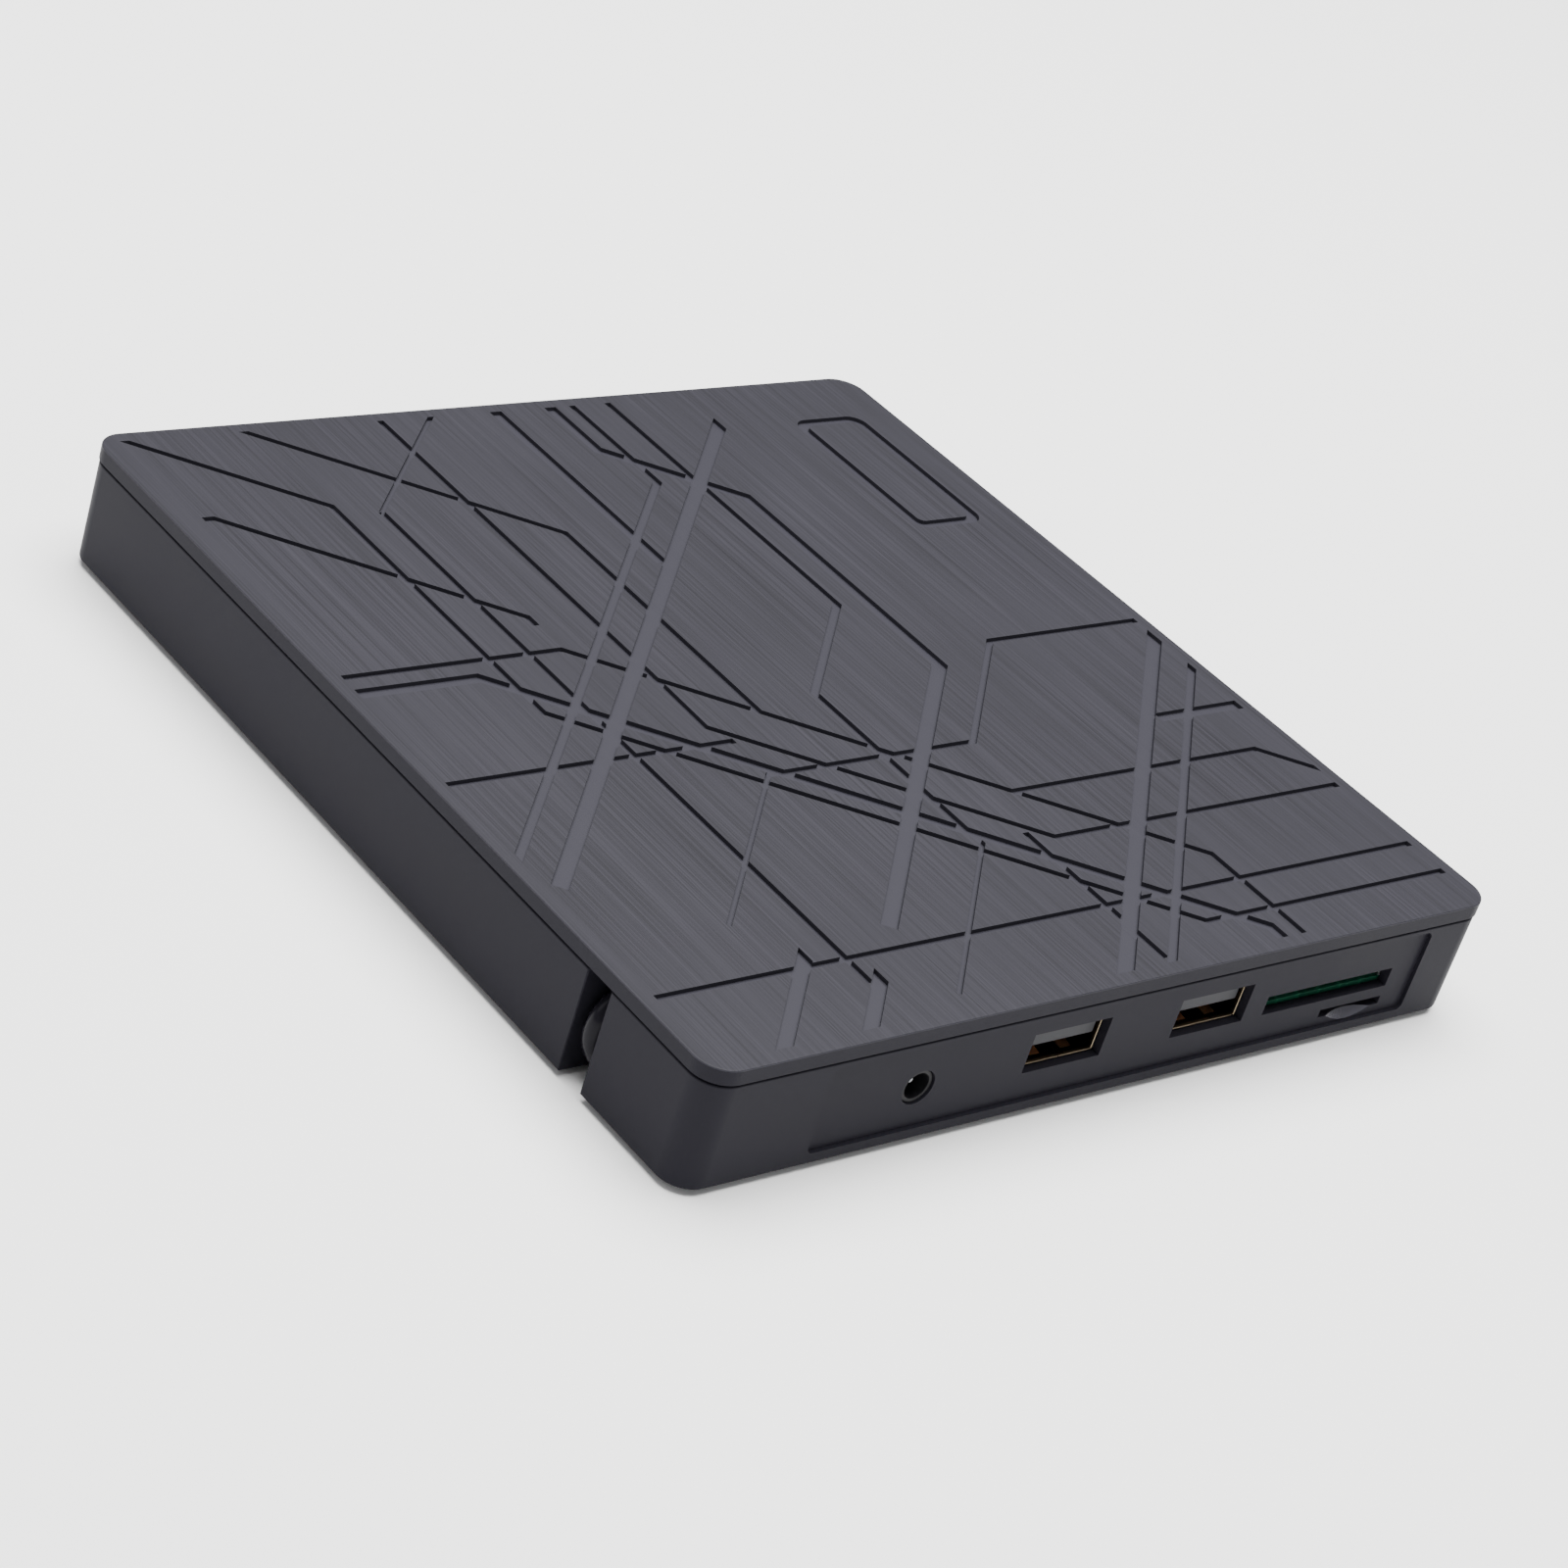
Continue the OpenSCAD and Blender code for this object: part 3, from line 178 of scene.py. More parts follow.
class StageSettings(bpy.types.PropertyGroup):
    """Camera, floor and lights."""

    lens: FloatProperty(
        name="Focal length", description="Focal length on a 36 mm sensor, in millimetres",
        default=88.37, min=20, max=200)
    azimuth: FloatProperty(
        name="Azimuth", description="Direction of the camera, from +X", subtype="ANGLE",
        default=math.radians(43.02))
    elevation: FloatProperty(
        name="Elevation", description="Height of the camera over the floor", subtype="ANGLE",
        default=math.radians(29.38))
    roll: FloatProperty(
        name="Roll", description="Turn of the camera about its own axis", subtype="ANGLE",
        default=math.radians(18.38))
    distance: FloatProperty(
        name="Distance", description="From the camera to the point that it looks at",
        unit="LENGTH", default=524.4 * MM)
    floor_color: FloatVectorProperty(
        name="Floor colour", description="Plain pale floor", subtype="COLOR",
        size=3, min=0, max=1, default=srgb("#f7f7f6")[:3])


# Finishes


def hairline_abs(settings):
    """Moulded ABS with a brushed face: long fine streaks that scatter light across their length.

    The grooves are smooth, and their colour is painted a little lighter than the face as a painted sheen."""
    material, shader, place = blank("hairline_abs")
    width, length = settings.streak_width, settings.streak_length
    stretched = add(
        material, "ShaderNodeMapping",
        values={"Scale": (1 / width, 1 / length, 1 / width)}, links={"Vector": place})
    streaks = add(
        material, "ShaderNodeTexNoise", values={"Scale": 1.0, "Detail": 6.0, "Roughness": 0.62},
        links={"Vector": stretched.outputs["Vector"]})
    # Slow changes, about 25 mm wide, vary the brushing
    slow = add(
        material, "ShaderNodeTexNoise", values={"Scale": 1 / (25 * MM), "Detail": 2.0},
        links={"Vector": place})
    mixed = add(
        material, "ShaderNodeMix", values={"Factor": 0.12}, data_type="FLOAT",
        links={"A": streaks.outputs["Fac"], "B": slow.outputs["Fac"]})
    # Only the face at the very top is brushed
    level = add(material, "ShaderNodeSeparateXYZ", links={"Vector": place})
    edge = 0.04 * MM
    on_top = add(
        material, "ShaderNodeMapRange",
        values={"From Min": COVER_HIGH.z - 2 * edge, "From Max": COVER_HIGH.z - edge},
        links={"Value": level.outputs["Z"]})
    face = add(material, "ShaderNodeValToRGB", links={"Fac": mixed.outputs["Result"]})
    for stop, (position, factor) in zip(face.color_ramp.elements, ((0.33, 0.6), (0.68, 1.4))):
        stop.position = position
        stop.color = shade(settings.color, factor)
    # Below the top face the colour is the grooves', painted a little lighter as a painted sheen
    color = add(
        material, "ShaderNodeMix", data_type="RGBA", values={"A": (*settings.groove_sheen_color, 1.0)},
        links={"Factor": on_top.outputs["Result"], "B": face.outputs["Color"]})
    link(material, color.outputs["Result"], shader, "Base Color")
    rough = add(
        material, "ShaderNodeMapRange",
        values={"From Min": 0.3, "From Max": 0.7, "To Min": 0.42, "To Max": 0.58},
        links={"Value": mixed.outputs["Result"]})
    link(material, rough.outputs["Result"], shader, "Roughness")
    height = add(
        material, "ShaderNodeMath", operation="MULTIPLY",
        links={0: streaks.outputs["Fac"], 1: on_top.outputs["Result"]})
    bump = add(
        material, "ShaderNodeBump", values={"Strength": 0.55, "Distance": 0.03 * MM},
        links={"Height": height.outputs["Value"]})
    link(material, bump.outputs["Normal"], shader, "Normal")
    shader.inputs["IOR"].default_value = 1.53
    shader.inputs["Specular IOR Level"].default_value = 0.15
    return material


def moulded(name, color, roughness, grain, relief, gloss=0.5):
    """Moulded plastic or rubber: an even, faintly mottled colour under a fine spark-eroded grain."""
    material, shader, place = blank(name)
    fine = add(
        material, "ShaderNodeTexNoise",
        values={"Scale": 1 / grain, "Detail": 3.0, "Roughness": 0.6}, links={"Vector": place})
    # Slow changes over about 18 mm, as a moulding has from its flow and from handling
    slow = add(
        material, "ShaderNodeTexNoise", values={"Scale": 1 / (18 * MM), "Detail": 4.0},
        links={"Vector": place})
    tint = add(material, "ShaderNodeValToRGB", links={"Fac": slow.outputs["Fac"]})
    for stop, (position, factor) in zip(tint.color_ramp.elements, ((0.3, 0.95), (0.7, 1.05))):
        stop.position = position
        stop.color = shade(color, factor)
    link(material, tint.outputs["Color"], shader, "Base Color")
    rough = add(
        material, "ShaderNodeMapRange",
        values={"From Min": 0.3, "From Max": 0.7,
                "To Min": max(0.05, roughness - 0.025), "To Max": roughness + 0.025},
        links={"Value": slow.outputs["Fac"]})
    link(material, rough.outputs["Result"], shader, "Roughness")
    bump = add(
        material, "ShaderNodeBump", values={"Strength": 0.5, "Distance": relief},
        links={"Height": fine.outputs["Fac"]})
    link(material, bump.outputs["Normal"], shader, "Normal")
    shader.inputs["IOR"].default_value = 1.52
    shader.inputs["Specular IOR Level"].default_value = gloss
    return material


def satin_abs(settings):
    """The case's satin ABS, made once: a dark, faintly violet, nearly even grey."""
    return bpy.data.materials.get("satin_abs") or moulded(
        "satin_abs", settings.color, roughness=0.5, grain=settings.grain, relief=0.012 * MM, gloss=0.05)


def rolled_metal(name, color, roughness, grain, turn=0.0, rim=None):
    """Rolled or ground metal: fine streaks along the rolling direction and a soft uneven gloss.

    A shell with a rim keeps its colour only in front of that Y, and behind it the colour is painted dark as
    painted shade inside the socket."""
    material, shader, place = blank(name)
    # The streaks are 25 times as long as they are wide
    stretch = 0.04
    turned = add(
        material, "ShaderNodeMapping",
        values={"Rotation": (0, 0, turn), "Scale": (1 / grain, stretch / grain, 1 / grain)},
        links={"Vector": place})
    streaks = add(
        material, "ShaderNodeTexNoise", values={"Scale": 1.0, "Detail": 4.0},
        links={"Vector": turned.outputs["Vector"]})
    # Patches about 5 mm wide vary the gloss
    patches = add(
        material, "ShaderNodeTexVoronoi", values={"Scale": 1 / (5 * MM)}, links={"Vector": place})
    mixed = add(
        material, "ShaderNodeMix", values={"Factor": 0.35}, data_type="FLOAT",
        links={"A": streaks.outputs["Fac"], "B": patches.outputs["Color"]})
    tint = add(material, "ShaderNodeValToRGB", links={"Fac": mixed.outputs["Result"]})
    for stop, (position, factor) in zip(tint.color_ramp.elements, ((0.2, 0.82), (0.8, 1.12))):
        stop.position = position
        stop.color = shade(color, factor)
    finish = tint.outputs["Color"]
    if rim is not None:
        depth = add(material, "ShaderNodeSeparateXYZ", links={"Vector": place})
        # Behind the rim the colour is darkened as painted shade, where the inside of the socket lies in
        # shadow
        bright = add(
            material, "ShaderNodeMapRange", interpolation_type="SMOOTHSTEP",
            values={"From Min": rim - 0.6 * MM, "From Max": rim},
            links={"Value": depth.outputs["Y"]})
        finish = add(
            material, "ShaderNodeMix", data_type="RGBA", values={"A": shade(color, 0.15)},
            links={"Factor": bright.outputs["Result"], "B": finish}).outputs["Result"]
    link(material, finish, shader, "Base Color")
    rough = add(
        material, "ShaderNodeMapRange",
        values={"To Min": max(0.04, roughness - 0.08), "To Max": roughness + 0.1},
        links={"Value": mixed.outputs["Result"]})
    link(material, rough.outputs["Result"], shader, "Roughness")
    bump = add(
        material, "ShaderNodeBump", values={"Strength": 0.25, "Distance": 0.01 * MM},
        links={"Height": streaks.outputs["Fac"]})
    link(material, bump.outputs["Normal"], shader, "Normal")
    shader.inputs["Metallic"].default_value = 1.0
    return material


def solder_mask():
    """Circuit board: green lacquer over copper tracks, which show as slightly raised lighter lines."""
    material, shader, place = blank("solder_mask_board")
    tracks = add(
        material, "ShaderNodeTexBrick", offset=0.37, squash=1.6, squash_frequency=3,
        values={"Color1": srgb("#0d4230"), "Color2": srgb("#104a36"), "Mortar": srgb("#16563f"),
                "Scale": 1.0, "Mortar Size": 0.25 * MM, "Mortar Smooth": 0.2,
                "Brick Width": 4.2 * MM, "Row Height": 1.3 * MM},
        links={"Vector": place})
    link(material, tracks.outputs["Color"], shader, "Base Color")
    bump = add(
        material, "ShaderNodeBump", values={"Strength": 0.4, "Distance": 0.03 * MM},
        links={"Height": tracks.outputs["Fac"]})
    link(material, bump.outputs["Normal"], shader, "Normal")
    shader.inputs["Roughness"].default_value = 0.34
    shader.inputs["IOR"].default_value = 1.5
    return material


def enamelled_winding():
    """Enamelled copper wire: round ridges about 1.6 mm apart, painted bright on each crest as a painted
    highlight and brown between the turns as painted shade.
    """
    material, shader, place = blank("enamelled_copper_wire_painted_shading")
    turns = add(
        material, "ShaderNodeTexWave", wave_type="BANDS", bands_direction="Z",
        values={"Scale": 1 / (WAVE_TURN * 0.25 * MM), "Distortion": 1.5}, links={"Vector": place})
    # The colour follows the ridges: painted highlight on each crest, painted shade between the turns
    tint = add(material, "ShaderNodeValToRGB", links={"Fac": turns.outputs["Fac"]})
    for stop, color in zip(tint.color_ramp.elements, ("#7a3f18", "#c9793a")):
        stop.color = srgb(color)
    link(material, tint.outputs["Color"], shader, "Base Color")
    bump = add(
        material, "ShaderNodeBump", values={"Strength": 0.6, "Distance": 0.06 * MM},
        links={"Height": turns.outputs["Fac"]})
    link(material, bump.outputs["Normal"], shader, "Normal")
    shader.inputs["Metallic"].default_value = 0.75
    shader.inputs["Roughness"].default_value = 0.36
    return material


def printed_film():
    """Flat flex lead: amber film with copper lines showing through, about 6 mm apart."""
    material, shader, place = blank("polyimide_film")
    lines = add(
        material, "ShaderNodeTexWave", wave_type="BANDS", bands_direction="X",
        values={"Scale": 1 / (WAVE_TURN * 1.0 * MM)}, links={"Vector": place})
    tint = add(material, "ShaderNodeValToRGB", links={"Fac": lines.outputs["Fac"]})
    for stop, color in zip(tint.color_ramp.elements, ("#8a5a1e", "#d09a4a")):
        stop.color = srgb(color)
    link(material, tint.outputs["Color"], shader, "Base Color")
    shader.inputs["Roughness"].default_value = 0.28
    shader.inputs["IOR"].default_value = 1.7
    return material


def clear_moulding(name, color, ior, roughness):
    """Clear acrylic or glass with a faint tint and tiny flow marks."""
    material, shader, place = blank(name)
    flow = add(
        material, "ShaderNodeTexNoise", values={"Scale": 1 / (1.5 * MM)}, links={"Vector": place})
    bump = add(
        material, "ShaderNodeBump", values={"Strength": 0.08, "Distance": 0.02 * MM},
        links={"Height": flow.outputs["Fac"]})
    link(material, bump.outputs["Normal"], shader, "Normal")
    shader.inputs["Base Color"].default_value = color
    shader.inputs["Transmission Weight"].default_value = 0.85
    shader.inputs["IOR"].default_value = ior
    shader.inputs["Roughness"].default_value = roughness
    return material


# Shapes


def joined_solid(node):
    """A bmesh of a solid's mesh, with its loose triangles joined and its flat faces whole."""
    bm = bmesh.new()
    bm.from_mesh(frame["nodes"][node].data)
    bmesh.ops.remove_doubles(bm, verts=bm.verts, dist=MERGE)
    bmesh.ops.dissolve_limit(bm, angle_limit=FLAT, verts=bm.verts, edges=bm.edges)
    return bm


def real_edges(bm):
    """The edges that turn sharply."""
    return [e for e in bm.edges if len(e.link_faces) == 2 and e.calc_face_angle() > EDGE_TURN]


def round_edges(bm, edges, radius, segments):
    """Rounds some edges of a bmesh."""
    bmesh.ops.bevel(
        bm, geom=edges, offset=radius, offset_type="OFFSET", affect="EDGES", segments=segments,
        profile=0.5, material=-1, clamp_overlap=False)


def make_piece(bm, name, material, body):
    """Turns a bmesh into a smooth object with sharp edges that rides on a body."""
    bm.normal_update()
    for face in bm.faces:
        face.smooth = True
    for edge in bm.edges:
        edge.smooth = len(edge.link_faces) == 2 and edge.calc_face_angle() < SMOOTH_TURN
    mesh = bpy.data.meshes.new(name)
    bm.to_mesh(mesh)
    bm.free()
    mesh.materials.append(material)
    piece = bpy.data.objects.new(name, mesh)
    bpy.context.scene.collection.objects.link(piece)
    normals = piece.modifiers.new("flat_faces", "WEIGHTED_NORMAL")
    normals.keep_sharp = True
    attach(piece, body)
    return piece


def soften(node, prefix, material, radius, segments=2):
    """Replaces a solid by its own shape with rounded edges."""
    bm = joined_solid(node)
    round_edges(bm, real_edges(bm), radius, segments)
    piece = make_piece(bm, f"{prefix}_{node}", material, BODY_OF[node])
    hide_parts(node)
    return piece


def paint(node, material):
    """Gives a solid that keeps its shape its finish."""
    mesh = frame["nodes"][node].data
    mesh.materials.clear()
    mesh.materials.append(material)


class BURNER_OT_stage(bpy.types.Operator):
    """Puts up the floor, the soft lights and the camera"""

    bl_idname = "burner.stage"
    bl_label = "Stage"

    # The point that the camera looks at, and the lights: place, size, power and colour
    AIM = Vector((8.84, 13.63, 10.0)) * MM
    FLOOR_SIZE = 6.0
    LIGHTS = {
        "overhead_softbox": ((-0.12, -0.15, 1.25), 1.5, 70.0, "#ffffff"),
        "side_softbox": ((0.85, -0.6, 0.5), 0.6, 2.0, "#fdfbff"),
        "socket_softbox": ((0.1, 1.05, 0.45), 0.6, 1.8, "#ffffff"),
    }

    def execute(self, context):
        settings = context.scene.burner_stage
        bm = bmesh.new()
        bmesh.ops.create_grid(bm, x_segments=2, y_segments=2, size=self.FLOOR_SIZE / 2)
        mesh = bpy.data.meshes.new("floor")
        bm.to_mesh(mesh)
        bm.free()
        floor = bpy.data.objects.new("floor", mesh)
        context.scene.collection.objects.link(floor)
        material, shader = blank("painted_floor")[:2]
        shader.inputs["Base Color"].default_value = (*settings.floor_color, 1.0)
        shader.inputs["Roughness"].default_value = 0.8
        mesh.materials.append(material)

        world = bpy.data.worlds.new("studio")
        world.use_nodes = True
        world.node_tree.nodes["Background"].inputs["Color"].default_value = srgb("#f4f5f7")
        world.node_tree.nodes["Background"].inputs["Strength"].default_value = 0.4
        context.scene.world = world

        for name, (at, size, power, color) in self.LIGHTS.items():
            lamp = bpy.data.lights.new(name, "AREA")
            lamp.shape = "DISK"
            lamp.size = size
            lamp.energy = power
            lamp.color = srgb(color)[:3]
            light = bpy.data.objects.new(name, lamp)
            light.location = at
            light.rotation_euler = (self.AIM - Vector(at)).to_track_quat("-Z", "Y").to_euler()
            context.scene.collection.objects.link(light)

        camera = bpy.data.objects.new("camera", bpy.data.cameras.new("camera"))
        camera.data.lens = settings.lens
        camera.data.sensor_width = 36
        camera.data.clip_start = 0.01
        away = Vector((
            math.cos(settings.elevation) * math.cos(settings.azimuth),
            math.cos(settings.elevation) * math.sin(settings.azimuth),
            math.sin(settings.elevation)))
        turn = away.to_track_quat("Z", "Y") @ Matrix.Rotation(settings.roll, 3, "Z").to_quaternion()
        camera.location = self.AIM + away * settings.distance
        camera.rotation_euler = turn.to_euler()
        context.scene.collection.objects.link(camera)
        context.scene.camera = camera
        return {"FINISHED"}


class BURNER_OT_top_cover(bpy.types.Operator):
    """Makes the brushed top cover with its rounded rim and crisp grooves"""

    bl_idname = "burner.top_cover"
    bl_label = "Top cover"

    # A face whose normal rises by less than this is a wall
    WALL_RISE = 0.5

    def execute(self, context):
        settings = context.scene.burner_cover
        bm = joined_solid("top_cover")
        # The upper edge is the outermost ring of edges at the cover's top
        upper = [
            e for e in real_edges(bm)
            if all(abs(v.co.z - COVER_HIGH.z) < MERGE for v in e.verts)
            and any(self.outside(f, settings.groove_depth) for f in e.link_faces)
        ]
        round_edges(bm, upper, settings.edge_round, 4)
        for face in bm.faces:
            face.material_index = int(self.outside(face, settings.groove_depth))
        piece = make_piece(
            bm, "brushed_top_cover", hairline_abs(settings), "case")
        piece.data.materials.append(satin_abs(context.scene.burner_case))
        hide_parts("top_cover")
        return {"FINISHED"}

    @classmethod
    def outside(cls, face, depth):
        """Whether a face is part of the cover's walls, below the grooves."""
        low = face.calc_center_median().z < COVER_HIGH.z - depth
        return face.calc_area() > 0 and abs(face.normal.z) < cls.WALL_RISE and low


class BURNER_OT_lower_case(bpy.types.Operator):
    """Makes the lower case with its rounded edges, feet and screws"""

    bl_idname = "burner.lower_case"
    bl_label = "Lower case"

    # The thumb scoop of the solid: its middle, half its width and its lowest and highest point
    SCOOP_X, SCOOP_HALF = -47.9 * MM, 5.5 * MM
    SCOOP_LOW, SCOOP_HIGH = 2.7 * MM, 4.2 * MM
    # How much the normals of the scoop's faces rise, and how much they look out at least
    SCOOP_RISE, SCOOP_OUT = (0.2, 0.9), 0.2
    # How far a point may lie off the case's outline
    OUTLINE_SLACK = 0.02 * MM

    def execute(self, context):
        settings = context.scene.burner_case
        bm = joined_solid("lower_case")
        outer = [
            e for e in real_edges(bm)
            if all(self.outside(v.co, settings.corner) for v in e.verts)
            and (self.level(e) or self.upright(e))
        ]
        round_edges(bm, outer, settings.edge_round, 3)
        for face in bm.faces:
            face.material_index = int(self.in_scoop(face))
        piece = make_piece(
            bm, "moulded_lower_case", satin_abs(settings), "case")
        # The scoop's polish is real, and its colour, 2.4 times the case's, is a painted highlight
        piece.data.materials.append(moulded(
            "polished_abs_painted_highlight", shade(settings.color, 2.4), roughness=0.22, grain=settings.grain,
            relief=0.004 * MM, gloss=0.9))
        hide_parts("lower_case")
        rubber = moulded(
            "matt_rubber", srgb("#1b1b1d"), roughness=0.8, grain=0.3 * MM, relief=0.03 * MM, gloss=0.3)
        soften("rubber_feet", "moulded", rubber, 0.35 * MM, 3)
        zinc = rolled_metal("zinc_plated_steel", srgb("#b9bcc0"), roughness=0.3, grain=0.2 * MM)
        soften("case_screws", "turned", zinc, 0.08 * MM)
        return {"FINISHED"}

    @classmethod
    def in_scoop(cls, face):
        """Whether a face is part of the thumb scoop under the small card slot."""
        least, most = cls.SCOOP_RISE
        return least < face.normal.z < most and face.normal.y > cls.SCOOP_OUT and all(
            abs(v.co.x - cls.SCOOP_X) < cls.SCOOP_HALF
            and cls.SCOOP_LOW < v.co.z < cls.SCOOP_HIGH
            for v in face.verts)

    @classmethod
    def outside(cls, place, corner):
        """Whether a point lies on the case's outer outline, seen from above."""
        middle = (CASE_LOW + CASE_HIGH) / 2
        half = (CASE_HIGH - CASE_LOW) / 2
        past = [max(0.0, abs(place[i] - middle[i]) - half[i] + corner) for i in (0, 1)]
        return abs(math.hypot(*past) - corner) < cls.OUTLINE_SLACK

    @staticmethod
    def level(edge):
        """Whether an edge runs along the case's lowest or highest ring."""
        return any(
            all(abs(v.co.z - ring) < MERGE for v in edge.verts) for ring in (CASE_LOW.z, CASE_HIGH.z))

    @staticmethod
    def upright(edge):
        """Whether an edge reaches from the lowest to the highest ring, as the notch's edges do."""
        low, high = sorted(v.co.z for v in edge.verts)
        return low - CASE_LOW.z < MERGE and CASE_HIGH.z - high < MERGE


class BURNER_OT_sockets(bpy.types.Operator):
    """Makes the power socket, the hub sockets and the card slots on their board"""

    bl_idname = "burner.sockets"
    bl_label = "Sockets and hub board"

    def execute(self, context):
        black = moulded(
            "glass_filled_nylon", srgb("#141416"), roughness=0.45, grain=0.25 * MM,
            relief=0.012 * MM, gloss=0.12)
        grey = moulded(
            "liquid_crystal_polymer", srgb("#27272b"), roughness=0.5, grain=0.25 * MM,
            relief=0.01 * MM, gloss=0.2)
        epoxy = moulded(
            "chip_epoxy", srgb("#1d1d1f"), roughness=0.55, grain=0.15 * MM, relief=0.01 * MM)
        # The shells' inside, behind their rim, is painted dark as painted shade
        gold = rolled_metal(
            "gold_plated_shell_painted_shade", srgb("#948670"), roughness=0.3, grain=0.15 * MM,
            rim=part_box("usb_shell_1")[1].y - 0.15 * MM)
        copper = rolled_metal("gold_plated_contact", srgb("#e2b48a"), roughness=0.36, grain=0.1 * MM)
        steel = rolled_metal("stamped_stainless", srgb("#b6b8bb"), roughness=0.32, grain=0.15 * MM)
        soften("dc_jack", "moulded", black, 0.15 * MM)
        soften("dc_pin", "turned", steel, 0.05 * MM)
        for number in (1, 2):
            soften(f"usb_shell_{number}", "pressed", gold, 0.08 * MM)
            soften(f"usb_tongue_{number}", "moulded", grey, 0.1 * MM)
            soften(f"usb_contacts_{number}", "pressed", copper, 0.03 * MM)
        soften("sd_socket", "pressed", steel, 0.08 * MM)
        soften("sd_contacts", "pressed", copper, 0.05 * MM)
        soften("tf_socket", "pressed", steel, 0.08 * MM)
        soften("sata_plug", "moulded", black, 0.12 * MM)
        paint("hub_board", solder_mask())
        soften("hub_chips", "moulded", epoxy, 0.1 * MM)
        return {"FINISHED"}


class BURNER_OT_lead(bpy.types.Operator):
    """Makes the captive lead along its route, its grommet and its plug"""

    bl_idname = "burner.lead"
    bl_label = "Captive lead"

    # Places along the lead's route, as in the solid, in millimetres
    LOOP_X, LOOP_Y, LOOP_Z, LOOP_R = 62.75, 52.15, 8.3, 5.0
    UNDER_Z = 3.3
    RUN_LEFT, RUN_FRONT, BEND_R = -50.0, -52.0, 8.0
    BACK_RUN, LEFT_RUN, FRONT_RUN = range(55, -41, -10), range(35, -41, -10), range(-34, 7, 10)
    PLUG_X, IN_GRIP = 8.0, 2.0
    # Degrees from one point of a bend to the next
    BEND_STEP = 15
    # From the hub board to the notch, measured from the loop's middle
    INNER_END = [(-19, 7, 1.3), (-14, 6.4, 1.7), (-9.5, 4.2, 2.6), (-5.8, 1.2, 4.4), (-3, 0, 5)]

    def arc(self, middle, radius, first, last):
        """Points along a bend from one angle to another, as pairs in the bend's own plane."""
        steps = abs(last - first) // self.BEND_STEP
        angles = [math.radians(first + (last - first) * i / steps) for i in range(steps + 1)]
        return [(middle[0] + radius * math.cos(t), middle[1] + radius * math.sin(t)) for t in angles]

    def route(self):
        """The lead's middle line, from the hub board to the plug, in metres."""
        under = self.UNDER_Z
        bend_x = self.RUN_LEFT + self.BEND_R
        loop = self.arc((self.LOOP_X, self.LOOP_Z), self.LOOP_R, 90, -90)
        back_bend = self.arc((bend_x, self.LOOP_Y - self.BEND_R), self.BEND_R, 90, 180)
        front_bend = self.arc((bend_x, self.RUN_FRONT + self.BEND_R), self.BEND_R, 180, 270)
        points = [
            *[(self.LOOP_X + x, self.LOOP_Y + y, self.LOOP_Z + z) for x, y, z in self.INNER_END],
            *[(x, self.LOOP_Y, z) for x, z in loop],
            *[(x, self.LOOP_Y, under) for x in self.BACK_RUN],
            *[(x, y, under) for x, y in back_bend],
            *[(self.RUN_LEFT, y, under) for y in self.LEFT_RUN],
            *[(x, y, under) for x, y in front_bend],
            *[(x, self.RUN_FRONT, under) for x in self.FRONT_RUN],
            (self.PLUG_X + self.IN_GRIP, self.RUN_FRONT, under),
        ]
        return [Vector(p) * MM for p in points]

    def execute(self, context):
        settings = context.scene.burner_lead
        sheath = moulded(
            "glossy_pvc", settings.color, roughness=0.2, grain=0.8 * MM, relief=0.015 * MM, gloss=0.06)
        curve = bpy.data.curves.new("sheathed_lead", "CURVE")
        curve.dimensions = "3D"
        curve.bevel_depth = settings.diameter / 2
        curve.bevel_resolution = 6
        curve.resolution_u = 4
        curve.use_fill_caps = True
        points = self.route()
        spline = curve.splines.new("NURBS")
        spline.points.add(len(points) - 1)
        for point, place in zip(spline.points, points):
            point.co = (*place, 1.0)
        spline.order_u = 4
        spline.use_endpoint_u = True
        curve.materials.append(sheath)
        lead = bpy.data.objects.new("sheathed_lead", curve)
        context.scene.collection.objects.link(lead)
        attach(lead, "case")
        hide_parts("usb_cable")

        rubber = moulded(
            "grommet_rubber", srgb("#161617"), roughness=0.7, grain=0.3 * MM, relief=0.02 * MM, gloss=0.3)
        grip = moulded("satin_pvc", srgb("#1a1a1c"), roughness=0.4, grain=0.4 * MM, relief=0.02 * MM)
        nickel = rolled_metal("nickel_plated_shell", srgb("#c9cbce"), roughness=0.22, grain=0.15 * MM)
        nylon = moulded("white_nylon", srgb("#e6e6e2"), roughness=0.4, grain=0.3 * MM, relief=0.01 * MM)
        soften("cable_grommet", "moulded", rubber, 0.2 * MM, 3)
        soften("plug_grip", "moulded", grip, 0.9 * MM, 4)
        soften("plug_shell", "pressed", nickel, 0.1 * MM)
        soften("plug_tongue", "moulded", nylon, 0.1 * MM)
        return {"FINISHED"}


